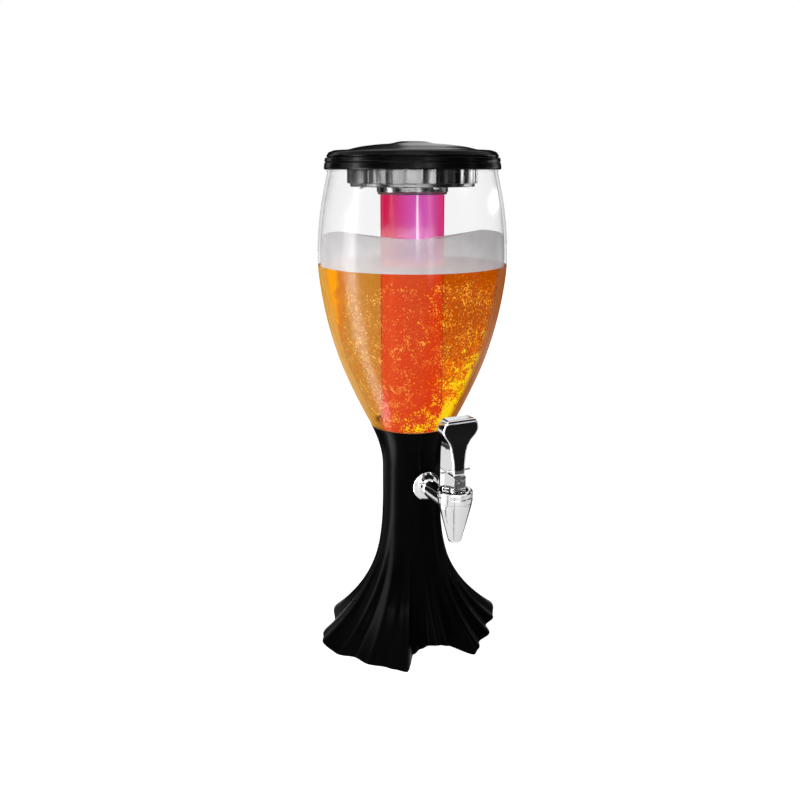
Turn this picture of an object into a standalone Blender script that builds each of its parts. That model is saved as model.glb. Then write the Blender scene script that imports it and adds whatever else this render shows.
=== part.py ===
"""A counter-top beer tower: a clear bowl with an ice tube hung from its lid, on a draped black base.

The tower stands on Z = 0 with its tap facing -Y. Lengths are in metres, angles in degrees.
A name that ends in SHARE or SHARES holds shares of the size that the shape follows.
"""

import math

import bmesh
import bpy
from mathutils import Vector

# Fits between pieces
GAP = 0.0003
RUNNING_GAP = 0.0006
OVERRUN = 0.004

# Base shell: draped skirt, round waist, cup for the vessel
BASE_WALL = 0.0026
RIM_RADIUS = 0.0409
WAIST_RADIUS = 0.029
HEM_RADIUS = 0.0984
FLARE_HEIGHT = 0.158
WAIST_HEIGHT = 0.017
CUP_HEIGHT = 0.043
CUP_CURVE = 1.8
FLARE_CURVE = 3.0
# Hem of the skirt, from the tap round by the tap's left: angle from the tap, share of the hem radius
HEM_SHARES = (
    (-180, 0.93),
    (-160, 0.85),
    (-139, 0.91),
    (-118, 0.826),
    (-99, 0.958),
    (-90.6, 1.0),
    (-76, 0.98),
    (-64, 0.893),
    (-53.5, 0.921),
    (-43, 0.90),
    (-36, 0.92),
    (-28, 0.95),
    (-24, 0.64),
    (-16, 0.55),
    (-6, 0.51),
    (6, 0.55),
    (13, 0.61),
    (19, 0.894),
    (27, 0.86),
    (36, 0.80),
    (49, 0.85),
    (60, 0.80),
    (72, 0.90),
    (91, 1.0),
    (104, 0.94),
    (118, 0.83),
    (139, 0.91),
    (160, 0.85),
    (180, 0.93),
)
HEM_STEP = 6.0
FLARE_ROW_SHARES = (1.0, 0.71, 0.54, 0.4, 0.28, 0.18, 0.09, 0.03, 0.0)
CUP_ROW_SHARES = (1.0, 0.8, 0.56, 0.28, 0.0)
LINING_FLARE_SHARES = (1.0, 0.54, 0.28, 0.09, 0.0)
LINING_CUP_SHARES = (1.0, 0.56, 0.0)

# Ledge inside the flare, below its top: carries the vessel above and the light unit below
LEDGE_DROP = 0.037
LEDGE_THICKNESS = 0.003
WINDOW_RADIUS = 0.018

# Vessel
BOWL_HEIGHT = 0.2552
BOWL_RADIUS = 0.0901
VESSEL_WALL = 0.0025
NECK_CHAMFER = 0.002
# Outline of the bowl: share of its height, share of its widest radius
BOWL_SHARES = (
    (0.0, 0.451),
    (0.088, 0.579),
    (0.184, 0.703),
    (0.278, 0.806),
    (0.403, 0.906),
    (0.525, 0.972),
    (0.626, 1.0),
    (0.732, 0.989),
    (0.83, 0.956),
    (0.935, 0.897),
    (1.0, 0.855),
)
BEAD_HEIGHT = 0.0018
BEAD_RADIUS = 0.0013
LID_OVERLAP = 0.0095

# Lid: its reach past the bowl's mouth, its flat top as a share of the bowl's radius
LID_REACH = 0.00586
LID_WALL = 0.0024
LID_SKIRT = 0.0125
LID_SHOULDER = 0.0049
LID_TOP_SHARE = 0.8158
LID_DOME_HEIGHT = 0.0084
LID_BAND_STEP = 0.0013
GROOVE_DEPTH = 0.0011
GROOVE_WIDTH = 0.0014
SEAL_THICKNESS = 0.0015
# Dome of the lid: share of the flat rim's radius, share of the dome's height
DOME_SHARES = ((0.0, 1.0), (0.155, 0.99), (0.29, 0.76), (0.47, 0.63), (0.675, 0.4), (0.86, 0.05), (1.0, 0.0))

# Tube holder and cap, under the lid: the holder and its screws as shares of the bowl's radius
HOLDER_SHARE = 0.6815
HOLDER_SCREW_SHARE = 0.5438
HOLDER_WALL = 0.0025
HOLDER_DROP = 0.0155
HOLDER_FOOT = 0.003
HOLDER_FOOT_STEP = 0.003
RIB_DEPTH = 0.0011
RIB_COUNT = 30
BOSS_RADIUS = 0.0042
HOLDER_SCREW_RADIUS = 0.0015
HOLDER_SCREW_LENGTH = 0.012
SCREW_HEAD_RADIUS = 0.003
SCREW_HEAD_HEIGHT = 0.0018
SCREW_COUNT = 3
CAP_WALL = 0.0026
CAP_DROP = 0.0052
CAP_RISE = 0.016
CAP_FLANGE_WIDTH = 0.0045
CAP_FLANGE_THICKNESS = 0.002

# Ice tube, with three bayonet lugs: its radius as a share of the bowl's
TUBE_SHARE = 0.3363
TUBE_WALL = 0.002
TUBE_BOTTOM_RADIUS = 0.006
TUBE_THROAT_GAP = 0.0015
LUG_HEIGHT = 0.003
LUG_DEPTH = 0.0012
LUG_ANGLE = 16.0
LUG_TURN = 30.0
LUG_DROP = 0.005
LUG_COUNT = 3
TUBE_SEAL_HEIGHT = 0.0016

# Tap: rise above the top of the flare, reach from the tower's axis
TAP_RISE = 0.004
TAP_REACH = 0.091
PAD_RADIUS = 0.0145
PAD_STAND = 0.0015
SHANK_RADIUS = 0.006
SHANK_PROUD = 0.003
ROSE_RADIUS = 0.0142
ROSE_THICKNESS = 0.0042
ROSE_EDGE = 0.0014
# Shoulder of the rose: share of its radius, share of its thickness
ROSE_SHOULDER_SHARES = (0.84, 0.7)
WASHER_THICKNESS = 0.0012
WASHER_INSET = 0.0006
BOSS_THICKNESS = 0.0048
TAP_BOSS_RADIUS = 0.0115
GASKET_THICKNESS = 0.002
GASKET_RADIUS = 0.0102
NUT_THICKNESS = 0.005
NUT_RADIUS = 0.011
NUT_SIDES = 6
ARM_RADIUS = 0.0083
ARM_SWELL = 0.0008
FLOW_BORE = 0.004
COLLAR_RISE = 0.0065
COLLAR_HEIGHT = 0.0102
COLLAR_RADIUS = 0.016
COLLAR_WALL = 0.0025
COLLAR_LIP = 0.0019
COLLAR_LIP_WIDTH = 0.0011
SPOUT_TOP_RADIUS = 0.0155
SPOUT_TIP_RADIUS = 0.006
SPOUT_LENGTH = 0.0392
SPOUT_MIDDLE_SHARE = 0.54
SPOUT_BORE = 0.0046
CHAMBER_DEPTH = 0.0185
SPIGOT_HEIGHT = 0.0055
SPIGOT_WALL = 0.003
BONNET_FLANGE = 0.0022
TURRET_HEIGHT = 0.0172
TURRET_WIDTH = 0.012
TURRET_FRONT = 0.0086
ROD_RADIUS = 0.0026
SEAT_CUP_HEIGHT = 0.0145
SEAT_CUP_TIP_SHARE = 0.68
SEAT_CUP_CONE_SHARE = 0.8
ROD_GRIP_DEPTH = 0.011

# Lever: heights from the pin, reach from the tap's axis towards the user
PIN_RISE = 0.0031
PIN_RADIUS = 0.001
PIN_LENGTH = 0.03
HEAD_WIDTH = 0.006
HEAD_DEPTH = 0.006
HEAD_RISE = 0.004
SLOT_RADIUS = 0.0057
LEVER_DROP = 0.0025
LEVER_HEIGHT = 0.0535
LEVER_WIDTH = 0.036
LEVER_DEPTH = 0.027
# Sections of the lever, bottom to top: share of its height, half widths in front and behind as
# shares of its width, reach in front of and behind the pin as shares of its depth
LEVER_SHARES = (
    (0.0, 0.155, 0.19, 0.285, 0.70),
    (0.16, 0.172, 0.20, 0.28, 0.67),
    (0.33, 0.20, 0.222, 0.265, 0.60),
    (0.48, 0.24, 0.25, 0.26, 0.50),
    (0.59, 0.31, 0.30, 0.285, 0.38),
    (0.70, 0.43, 0.41, 0.33, 0.26),
    (0.80, 0.50, 0.475, 0.365, 0.18),
    (0.90, 0.475, 0.45, 0.39, 0.12),
    (0.97, 0.42, 0.40, 0.395, 0.09),
    (1.0, 0.385, 0.365, 0.38, 0.08),
)
LEVER_CORNER = 0.0014
INSERT_BORDER = 0.0016
INSERT_THICKNESS = 0.0013
INSERT_PROUD = 0.0002
INSERT_BOTTOM = 0.0025
INSERT_TOP = 0.0475

# Light unit under the ledge
HOUSING_RADIUS = 0.019
HOUSING_WALL = 0.0017
HOUSING_HEIGHT = 0.058
HOUSING_FLANGE_RADIUS = 0.0256
HOUSING_FLANGE_THICKNESS = 0.0025
HOUSING_STEP = 0.0014
HOUSING_SCREW_CIRCLE = 0.0223
HOUSING_SCREW_RADIUS = 0.0011
HOUSING_SCREW_HEAD = 0.0022
LENS_FLANGE_RADIUS = 0.0202
LENS_FLANGE_THICKNESS = 0.0014
LENS_RISE = 0.0024
BOARD_THICKNESS = 0.0016
BOARD_DROP = 0.0066
LED_RADIUS = 0.0025
LED_HEIGHT = 0.005
LED_DOME_SHARE = 0.7
LED_CIRCLE = 0.009
LED_COUNT = 4
BATTERY_RADIUS = 0.00525
BATTERY_LENGTH = 0.0435
BATTERY_NUB_RADIUS = 0.0019
BATTERY_NUB_HEIGHT = 0.001
BATTERY_COUNT = 3
CONTACT_THICKNESS = 0.0005
CONTACT_RADIUS = 0.0135
CONTACT_HOLE = 0.0076
COVER_THICKNESS = 0.0036
COVER_PLUG = 0.0026
COIN_SLOT_DEPTH = 0.0012
COIN_SLOT_WIDTH = 0.002
BUTTON_RADIUS = 0.005
BUTTON_FLANGE = 0.0012
BUTTON_FLANGE_THICKNESS = 0.001
BUTTON_PROUD = 0.0025
BUTTON_TRAVEL = 0.0012

# Facets round a full turn
LARGE_ROUND = 36
MIDDLE_ROUND = 24
SMALL_ROUND = 16
TINY_ROUND = 8

# Places that follow from the sizes
REAR_SHARE = HEM_SHARES[0][1]
AXIS_Y = (TAP_REACH + COLLAR_RADIUS - HEM_RADIUS * REAR_SHARE) / 2
TAP_Y = AXIS_Y - TAP_REACH
CUP_START = FLARE_HEIGHT + WAIST_HEIGHT
BASE_HEIGHT = CUP_START + CUP_HEIGHT
LEDGE_TOP = FLARE_HEIGHT - LEDGE_DROP
TAP_HEIGHT = FLARE_HEIGHT + TAP_RISE
COLLAR_BOTTOM = TAP_HEIGHT + COLLAR_RISE
CAVITY_RADIUS = WAIST_RADIUS - BASE_WALL
NECK_RADIUS = CAVITY_RADIUS - GAP
NECK_BOTTOM = LEDGE_TOP + GAP
BOWL_BOTTOM = BASE_HEIGHT + GAP
MOUTH_TOP = BOWL_BOTTOM + BOWL_HEIGHT
TUBE_RADIUS = BOWL_RADIUS * TUBE_SHARE
HOLDER_SCREW_CIRCLE = BOWL_RADIUS * HOLDER_SCREW_SHARE
HOLDER_RADIUS = BOWL_RADIUS * HOLDER_SHARE
LID_TOP_RADIUS = BOWL_RADIUS * LID_TOP_SHARE
LID_RADIUS = BOWL_RADIUS * BOWL_SHARES[-1][1] + LID_REACH
LID_BOTTOM = MOUTH_TOP - LID_OVERLAP
LID_CEILING = MOUTH_TOP + SEAL_THICKNESS + 2 * GAP
LID_RIM_TOP = LID_BOTTOM + LID_SKIRT + LID_SHOULDER
HOLDER_TOP = LID_RIM_TOP - LID_WALL - GAP
HOLDER_BOTTOM = LID_BOTTOM - HOLDER_DROP
HOLDER_FLOOR = HOLDER_BOTTOM + HOLDER_FOOT
CAP_BORE = TUBE_RADIUS + RUNNING_GAP
CAP_RADIUS = CAP_BORE + CAP_WALL
CAP_BOTTOM = HOLDER_BOTTOM - CAP_DROP
CAP_TOP = HOLDER_FLOOR + CAP_RISE
PAD_FACE = WAIST_RADIUS + PAD_STAND
ROSE_BACK = PAD_FACE + WASHER_THICKNESS + 2 * GAP
ARM_START = ROSE_BACK + ROSE_THICKNESS + GAP
TAP_BOSS_FACE = NECK_RADIUS - VESSEL_WALL - BOSS_THICKNESS
NUT_FACE = TAP_BOSS_FACE - GASKET_THICKNESS - NUT_THICKNESS - 2 * GAP
SHANK_END = NUT_FACE - SHANK_PROUD
SPOUT_TOP = COLLAR_BOTTOM - GAP
SPOUT_BOTTOM = SPOUT_TOP - SPOUT_LENGTH
CHAMBER_FLOOR = SPOUT_TOP - CHAMBER_DEPTH
SPIGOT_RADIUS = COLLAR_RADIUS - COLLAR_WALL - GAP
SPIGOT_TOP = SPOUT_TOP + SPIGOT_HEIGHT
CHAMBER_RADIUS = SPIGOT_RADIUS - SPIGOT_WALL
BONNET_BOTTOM = SPIGOT_TOP + GAP
BONNET_TOP = BONNET_BOTTOM + BONNET_FLANGE
COLLAR_TOP = COLLAR_BOTTOM + COLLAR_HEIGHT
COLLAR_OPENING = SPIGOT_RADIUS - COLLAR_LIP_WIDTH
TURRET_RADIUS = COLLAR_OPENING - GAP
TURRET_TOP = BONNET_TOP + TURRET_HEIGHT
PIN_HEIGHT = TURRET_TOP + PIN_RISE
SEAT_CUP_BOTTOM = CHAMBER_FLOOR + GAP
SEAT_CUP_TOP = SEAT_CUP_BOTTOM + SEAT_CUP_HEIGHT
SEAT_CUP_RADIUS = CHAMBER_RADIUS - RUNNING_GAP
ROD_BOTTOM = SEAT_CUP_TOP - ROD_GRIP_DEPTH
HEAD_BOTTOM = PIN_HEIGHT - PIN_RISE - HEAD_RISE
HEAD_TOP = PIN_HEIGHT + HEAD_RISE
LEDGE_BOTTOM = LEDGE_TOP - LEDGE_THICKNESS
HOUSING_TOP = LEDGE_BOTTOM - LENS_FLANGE_THICKNESS - 2 * GAP
HOUSING_BOTTOM = HOUSING_TOP - HOUSING_HEIGHT
HOUSING_BORE = HOUSING_RADIUS - HOUSING_WALL
BATTERY_BORE = HOUSING_BORE - HOUSING_STEP
BOARD_TOP = HOUSING_TOP - BOARD_DROP
BOARD_BOTTOM = BOARD_TOP - BOARD_THICKNESS
HOUSING_STEP_TOP = BOARD_BOTTOM - GAP
BATTERY_CIRCLE = (BATTERY_RADIUS + GAP / 2) / math.sin(math.pi / BATTERY_COUNT)
COVER_TOP = HOUSING_BOTTOM + COVER_PLUG
BATTERY_BOTTOM = COVER_TOP + BUTTON_TRAVEL
LOWER_CONTACT_BOTTOM = BATTERY_BOTTOM - GAP - CONTACT_THICKNESS
BATTERY_TOP = BATTERY_BOTTOM + BATTERY_LENGTH
UPPER_CONTACT_BOTTOM = BATTERY_TOP + BATTERY_NUB_HEIGHT + GAP
COVER_BOTTOM = HOUSING_BOTTOM - GAP - COVER_THICKNESS
BUTTON_SHELF = COVER_TOP - BUTTON_FLANGE_THICKNESS - GAP
FLANGE_BOTTOM = HOUSING_TOP - HOUSING_FLANGE_THICKNESS


def clear_scene():
    for obj in list(bpy.data.objects):
        bpy.data.objects.remove(obj)


def new_collection(name, hidden):
    collection = bpy.data.collections.new(name)
    bpy.context.scene.collection.children.link(collection)
    collection.hide_render = hidden
    return collection


def new_material(name, color, roughness, metallic=0.0, transmission=0.0):
    material = bpy.data.materials.new(name)
    material.use_nodes = True
    shader = material.node_tree.nodes["Principled BSDF"]
    shader.inputs["Base Color"].default_value = (*color, 1.0)
    shader.inputs["Roughness"].default_value = roughness
    shader.inputs["Metallic"].default_value = metallic
    shader.inputs["Transmission Weight"].default_value = transmission
    return material


clear_scene()
PARTS = new_collection("beer_tower", False)
CUTTERS = new_collection("beer_tower_cutters", True)

BLACK = new_material("black_gloss_plastic", (0.006, 0.006, 0.007), 0.18)
CLEAR = new_material("clear_plastic", (0.93, 0.94, 0.95), 0.04, transmission=1.0)
CHROME = new_material("chrome_plating", (0.83, 0.84, 0.86), 0.08, metallic=1.0)
STEEL = new_material("plated_steel", (0.6, 0.6, 0.62), 0.3, metallic=1.0)
RUBBER = new_material("black_rubber", (0.02, 0.02, 0.02), 0.75)
SILICONE = new_material("white_silicone", (0.8, 0.8, 0.78), 0.55)
BOARD = new_material("green_board", (0.03, 0.16, 0.07), 0.5)
DIODE = new_material("light_emitting_diode", (0.9, 0.4, 0.6), 0.15)
CELL = new_material("battery_sleeve", (0.1, 0.12, 0.3), 0.35)
INSERT = new_material("satin_black_plastic", (0.012, 0.012, 0.014), 0.32)


def add_empty(name, location, parent=None):
    """An empty on a joint's axis, at a place given in the world."""
    empty = bpy.data.objects.new(name, None)
    PARTS.objects.link(empty)
    put(empty, location, parent)
    return empty


def put(obj, location, parent):
    """Parents an object and sets it at a place given in the world. No parent is turned or scaled."""
    obj.parent = parent
    base = Vector()
    while parent is not None:
        base += parent.location
        parent = parent.parent
    obj.location = Vector(location) - base


def add_mesh(name, mesh, material, parent, location):
    """A part with a material, or a cutter where material is None."""
    obj = bpy.data.objects.new(name, mesh)
    if material is None:
        CUTTERS.objects.link(obj)
        obj.hide_render = True
        obj.display_type = "WIRE"
    else:
        PARTS.objects.link(obj)
        mesh.materials.append(material)
    put(obj, location, parent)
    return obj


def turned(name, profile, facets, material=None, parent=None, location=(0, 0, 0), closed=False):
    """A profile of (radius, height) points turned about Z. It runs down its outer side."""
    mesh = bpy.data.meshes.new(name)
    edges = [(i, i + 1) for i in range(len(profile) - 1)]
    if closed:
        edges.append((len(profile) - 1, 0))
    mesh.from_pydata([(radius, 0, height) for radius, height in profile], edges, [])
    obj = add_mesh(name, mesh, material, parent, location)
    screw = obj.modifiers.new("turn", "SCREW")
    screw.steps = screw.render_steps = facets
    screw.use_merge_vertices = True
    screw.merge_threshold = 0.00001
    screw.use_smooth_shade = True
    return obj


def ring(name, inner, outer, bottom, top, facets, material=None, parent=None, location=(0, 0, 0)):
    profile = [(outer, top), (outer, bottom), (inner, bottom), (inner, top)]
    return turned(name, profile, facets, material, parent, location, closed=True)


def disc(name, radius, bottom, top, facets, material=None, parent=None, location=(0, 0, 0)):
    profile = [(0, top), (radius, top), (radius, bottom), (0, bottom)]
    return turned(name, profile, facets, material, parent, location)


def box(name, low, high, material=None, parent=None, location=(0, 0, 0)):
    shape = bmesh.new()
    bmesh.ops.create_cube(shape, size=1)
    for vertex in shape.verts:
        vertex.co = [(a + b) / 2 + c * (b - a) for a, b, c in zip(low, high, vertex.co)]
    return from_bmesh(name, shape, material, parent, location)


def from_bmesh(name, shape, material, parent, location):
    bmesh.ops.recalc_face_normals(shape, faces=shape.faces)
    mesh = bpy.data.meshes.new(name)
    shape.to_mesh(mesh)
    shape.free()
    return add_mesh(name, mesh, material, parent, location)


def loft(name, rings, material=None, parent=None, location=(0, 0, 0), closed=False):
    """Bridges rings of equally many points. closed joins the last ring to the first, else the ends are capped."""
    shape = bmesh.new()
    rows = [[shape.verts.new(point) for point in points] for points in rings]
    pairs = list(zip(rows, rows[1:]))
    if closed:
        pairs.append((rows[-1], rows[0]))
    else:
        shape.faces.new(rows[0])
        shape.faces.new(rows[-1])
    for row, following in pairs:
        for i in range(len(row)):
            shape.faces.new((row[i - 1], row[i], following[i], following[i - 1]))
    return from_bmesh(name, shape, material, parent, location)


def combine(target, other, operation):
    modifier = target.modifiers.new(other.name, "BOOLEAN")
    modifier.operation = operation
    modifier.object = other


def cut(target, *cutters):
    for cutter in cutters:
        combine(target, cutter, "DIFFERENCE")


def join(target, *others):
    for other in others:
        combine(target, other, "UNION")


def facing_tap(obj):
    """Turns a piece so that its own Z points out along the tap's arm."""
    obj.rotation_euler = (math.pi / 2, 0, 0)
    return obj


def across_tap(obj):
    """Turns a piece so that its own Z points across the tap, along X."""
    obj.rotation_euler = (0, math.pi / 2, 0)
    return obj


def half_facet(obj, facets):
    """Turns a piece about its own Z by half a facet, so that its screw holes miss the edges."""
    obj.rotation_euler = (0, 0, math.pi / facets)
    return obj


def around(angle, radius):
    """The place at an angle from the tap, round the tower's axis."""
    return (radius * math.sin(math.radians(angle)), AXIS_Y - radius * math.cos(math.radians(angle)))


def smooth_at(shares, place):
    """A smooth curve through (place, value) pairs, read at one place."""
    count = len(shares)
    index = 0
    while index < count - 2 and place > shares[index + 1][0]:
        index += 1

    def slope(i):
        low, high = max(i - 1, 0), min(i + 1, count - 1)
        return (shares[high][1] - shares[low][1]) / (shares[high][0] - shares[low][0])

    span = shares[index + 1][0] - shares[index][0]
    t = (place - shares[index][0]) / span
    start, end = shares[index][1], shares[index + 1][1]
    rise = (3 - 2 * t) * t * t
    bend_in = t * (1 - t) * (1 - t) * span * slope(index)
    bend_out = t * t * (1 - t) * span * slope(index + 1)
    return start + (end - start) * rise + bend_in - bend_out


def hem_share(angle):
    """The hem's radius as a share, easing from each fold's crest to the next valley."""
    angle = (angle + 180) % 360 - 180
    for (start, low), (end, high) in zip(HEM_SHARES, HEM_SHARES[1:]):
        if angle <= end:
            t = (angle - start) / (end - start)
            return low + (high - low) * t * t * (3 - 2 * t)
    return HEM_SHARES[-1][1]


def shell_radius(angle, height):
    """Outside of the base shell: folds that fade into a round waist, then the cup."""
    if height > CUP_START:
        rise = (height - CUP_START) / CUP_HEIGHT
        return WAIST_RADIUS + (RIM_RADIUS - WAIST_RADIUS) * rise**CUP_CURVE
    flare = max(0, 1 - height / FLARE_HEIGHT) ** FLARE_CURVE
    return WAIST_RADIUS + (HEM_RADIUS * hem_share(angle) - WAIST_RADIUS) * flare


def lining_radius(angle, height):
    """Inside of the base shell: everywhere one wall away from the outside at the same height."""
    widest = math.degrees(BASE_WALL / WAIST_RADIUS)
    samples = 8
    nearest = shell_radius(angle, height) - BASE_WALL
    for step in range(-samples, samples + 1):
        turn = widest * step / samples
        radius = shell_radius(angle + turn, height)
        aside = radius * math.sin(math.radians(turn))
        if abs(aside) < BASE_WALL:
            reach = math.sqrt(BASE_WALL**2 - aside**2)
            nearest = min(nearest, radius * math.cos(math.radians(turn)) - reach)
    return nearest


def hem_angles():
    angles = []
    for (start, _), (end, _) in zip(HEM_SHARES, HEM_SHARES[1:]):
        steps = max(1, round((end - start) / HEM_STEP))
        angles += [start + (end - start) * i / steps for i in range(steps)]
    return angles


def shell_rows(cup_shares, flare_shares=()):
    """Heights at which the shell is drawn, from the rim down."""
    cup = [CUP_START + CUP_HEIGHT * share for share in cup_shares]
    return cup + [FLARE_HEIGHT * share for share in flare_shares]


def make_base(tower):
    rows = shell_rows(CUP_ROW_SHARES, FLARE_ROW_SHARES)
    lining_rows = shell_rows(LINING_CUP_SHARES, LINING_FLARE_SHARES)
    angles = hem_angles()

    def row_points(radius_at, height):
        return [
            (
                radius_at(angle, height) * math.sin(math.radians(angle)),
                -radius_at(angle, height) * math.cos(math.radians(angle)),
                height,
            )
            for angle in angles
        ]

    rings = [row_points(shell_radius, height) for height in rows]
    rings += [row_points(lining_radius, height) for height in reversed(lining_rows)]
    foot = (0, AXIS_Y, 0)
    shell = loft("base_shell", rings, BLACK, tower, foot, closed=True)
    crest = max(lining_radius(angle, LEDGE_BOTTOM) for angle in angles)
    valley = min(shell_radius(angle, LEDGE_BOTTOM) for angle in angles)
    ledge = ring(
        "base_ledge", WINDOW_RADIUS, (crest + valley) / 2, LEDGE_BOTTOM, LEDGE_TOP, MIDDLE_ROUND, location=foot,
    )
    half_facet(ledge, MIDDLE_ROUND)
    pad = disc("tap_pad", PAD_RADIUS, TAP_BOSS_FACE, PAD_FACE, MIDDLE_ROUND, location=(0, AXIS_Y, TAP_HEIGHT))
    core = disc(
        "pad_core", CAVITY_RADIUS + BASE_WALL / 2, TAP_HEIGHT - PAD_RADIUS - OVERRUN,
        TAP_HEIGHT + PAD_RADIUS + OVERRUN, LARGE_ROUND, location=foot,
    )
    cut(facing_tap(pad), core)
    hole = disc("tap_hole", SHANK_RADIUS + GAP, 0, PAD_FACE + OVERRUN, SMALL_ROUND, location=(0, AXIS_Y, TAP_HEIGHT))
    for i in range(SCREW_COUNT):
        x, y = around(60 + 360 * i / SCREW_COUNT, HOUSING_SCREW_CIRCLE)
        cut(ledge, disc(
            f"ledge_hole_{i + 1}", HOUSING_SCREW_RADIUS + GAP, LEDGE_BOTTOM - OVERRUN,
            LEDGE_TOP + OVERRUN, TINY_ROUND, location=(x, y, 0),
        ))
    join(shell, ledge, pad)
    cut(shell, facing_tap(hole))


def bowl_radius(height):
    return BOWL_RADIUS * smooth_at(BOWL_SHARES, (height - BOWL_BOTTOM) / BOWL_HEIGHT)


def bowl_lining(height):
    """Inside radius, one wall square to the outside."""
    step = BOWL_HEIGHT / 1000
    above = min(height + step, MOUTH_TOP)
    below = max(height - step, BOWL_BOTTOM)
    slope = (bowl_radius(above) - bowl_radius(below)) / (above - below)
    return bowl_radius(height) - VESSEL_WALL * math.hypot(1, slope)


def make_vessel(tower):
    bowl_rows = [BOWL_BOTTOM + BOWL_HEIGHT * share for share, _ in reversed(BOWL_SHARES)]
    bead_top = LID_BOTTOM - GAP
    outer = []
    for row in bowl_rows:
        outer.append((bowl_radius(row), row))
        if row == bowl_rows[0]:
            bead_bottom = bead_top - BEAD_HEIGHT
            outer.append((bowl_radius(bead_top), bead_top))
            outer.append((bowl_radius(bead_top) + BEAD_RADIUS, bead_top - BEAD_HEIGHT / 4))
            outer.append((bowl_radius(bead_top) + BEAD_RADIUS, bead_bottom + BEAD_HEIGHT / 4))
            outer.append((bowl_radius(bead_bottom), bead_bottom))
    neck = [(shell_radius(0, row) - BASE_WALL - GAP, row) for row in shell_rows(CUP_ROW_SHARES)]
    neck[0] = (neck[0][0], BOWL_BOTTOM)
    neck += [(NECK_RADIUS, NECK_BOTTOM + NECK_CHAMFER), (NECK_RADIUS - NECK_CHAMFER, NECK_BOTTOM)]
    inner = [(bowl_lining(row), row) for row in bowl_rows[:-1:2]]
    inner += [(radius - VESSEL_WALL, row) for radius, row in neck[1:-2:2]]
    floor = NECK_BOTTOM + VESSEL_WALL
    inner += [(NECK_RADIUS - VESSEL_WALL, floor + NECK_CHAMFER), (NECK_RADIUS - VESSEL_WALL - NECK_CHAMFER, floor)]
    profile = [(0, floor), *reversed(inner), *outer, *neck, (0, NECK_BOTTOM)]
    foot = (0, AXIS_Y, 0)
    vessel = turned("vessel", profile, LARGE_ROUND, CLEAR, tower, foot)
    at_tap = (0, AXIS_Y, TAP_HEIGHT)
    boss = disc("vessel_boss", TAP_BOSS_RADIUS, TAP_BOSS_FACE, NECK_RADIUS + OVERRUN, MIDDLE_ROUND, location=at_tap)
    wall_core = disc(
        "boss_core", NECK_RADIUS - VESSEL_WALL / 2, TAP_HEIGHT - PAD_RADIUS, TAP_HEIGHT + PAD_RADIUS,
        LARGE_ROUND, location=foot,
    )
    combine(facing_tap(boss), wall_core, "INTERSECT")
    join(vessel, boss)
    cut(vessel, facing_tap(disc(
        "vessel_hole", SHANK_RADIUS + GAP, 0, NECK_RADIUS + OVERRUN, SMALL_ROUND, location=at_tap
    )))


def lid_dome(share, drop=0.0):
    """A point of the dome at a share of the flat rim's radius, or the point below it by drop."""
    return (LID_TOP_RADIUS * share, LID_RIM_TOP + LID_DOME_HEIGHT * smooth_at(DOME_SHARES, share) - drop)


def make_lid(lid):
    foot = (0, AXIS_Y, 0)
    band = (LID_SKIRT - GROOVE_WIDTH) / 3
    shoulder = LID_BOTTOM + LID_SKIRT
    middle_radius = LID_RADIUS - LID_BAND_STEP
    upper_radius = middle_radius - LID_BAND_STEP
    outer = [lid_dome(share) for share, _ in DOME_SHARES]
    outer += [
        ((LID_TOP_RADIUS + upper_radius) / 2 + LID_BAND_STEP, LID_RIM_TOP - LID_SHOULDER / 3),
        (upper_radius, shoulder),
        (upper_radius, shoulder - GROOVE_WIDTH / 2),
        (upper_radius - GROOVE_DEPTH, shoulder - GROOVE_WIDTH),
        (middle_radius, shoulder - GROOVE_WIDTH - GROOVE_DEPTH / 2),
        (middle_radius + LID_BAND_STEP / 2, shoulder - GROOVE_WIDTH - band),
        (middle_radius - GROOVE_DEPTH / 2, shoulder - GROOVE_WIDTH - band - GROOVE_WIDTH / 2),
        (LID_RADIUS - LID_BAND_STEP / 2, shoulder - GROOVE_WIDTH - band - GROOVE_WIDTH),
        (LID_RADIUS, LID_BOTTOM + GROOVE_WIDTH),
        (LID_RADIUS - LID_BAND_STEP / 2, LID_BOTTOM),
    ]
    bore = bowl_radius(LID_BOTTOM) + RUNNING_GAP
    seat = bowl_radius(MOUTH_TOP) + RUNNING_GAP
    inner = [
        (bore, LID_BOTTOM),
        (bore, LID_BOTTOM + GROOVE_WIDTH),
        (seat, MOUTH_TOP),
        (seat, LID_CEILING),
        (HOLDER_RADIUS + 2 * RUNNING_GAP, LID_CEILING),
    ]
    inner += [lid_dome(share, LID_WALL) for share, _ in reversed(DOME_SHARES[:-1])]
    cover = turned("lid_cover", outer + inner, LARGE_ROUND, BLACK, lid, foot)
    core = [lid_dome(share, LID_WALL / 2) for share, _ in DOME_SHARES]
    core += [(LID_TOP_RADIUS, HOLDER_BOTTOM), (0, HOLDER_BOTTOM)]
    boss_core = turned("lid_boss_core", core, LARGE_ROUND, location=foot)
    for i in range(SCREW_COUNT):
        x, y = around(360 * i / SCREW_COUNT, HOLDER_SCREW_CIRCLE)
        boss = disc(
            f"lid_boss_{i + 1}", BOSS_RADIUS, HOLDER_FLOOR + GAP, LID_RIM_TOP + LID_DOME_HEIGHT,
            TINY_ROUND, location=(x, y, 0),
        )
        combine(boss, boss_core, "INTERSECT")
        cut(boss, disc(
            f"lid_boss_hole_{i + 1}", HOLDER_SCREW_RADIUS + GAP, HOLDER_FLOOR - OVERRUN,
            HOLDER_BOTTOM + HOLDER_SCREW_LENGTH + GAP, TINY_ROUND, location=(x, y, 0),
        ))
        join(cover, boss)
    ring(
        "lid_seal", bowl_lining(MOUTH_TOP), bowl_radius(MOUTH_TOP), MOUTH_TOP + GAP,
        LID_CEILING - GAP, LARGE_ROUND, RUBBER, lid, foot,
    )


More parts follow.
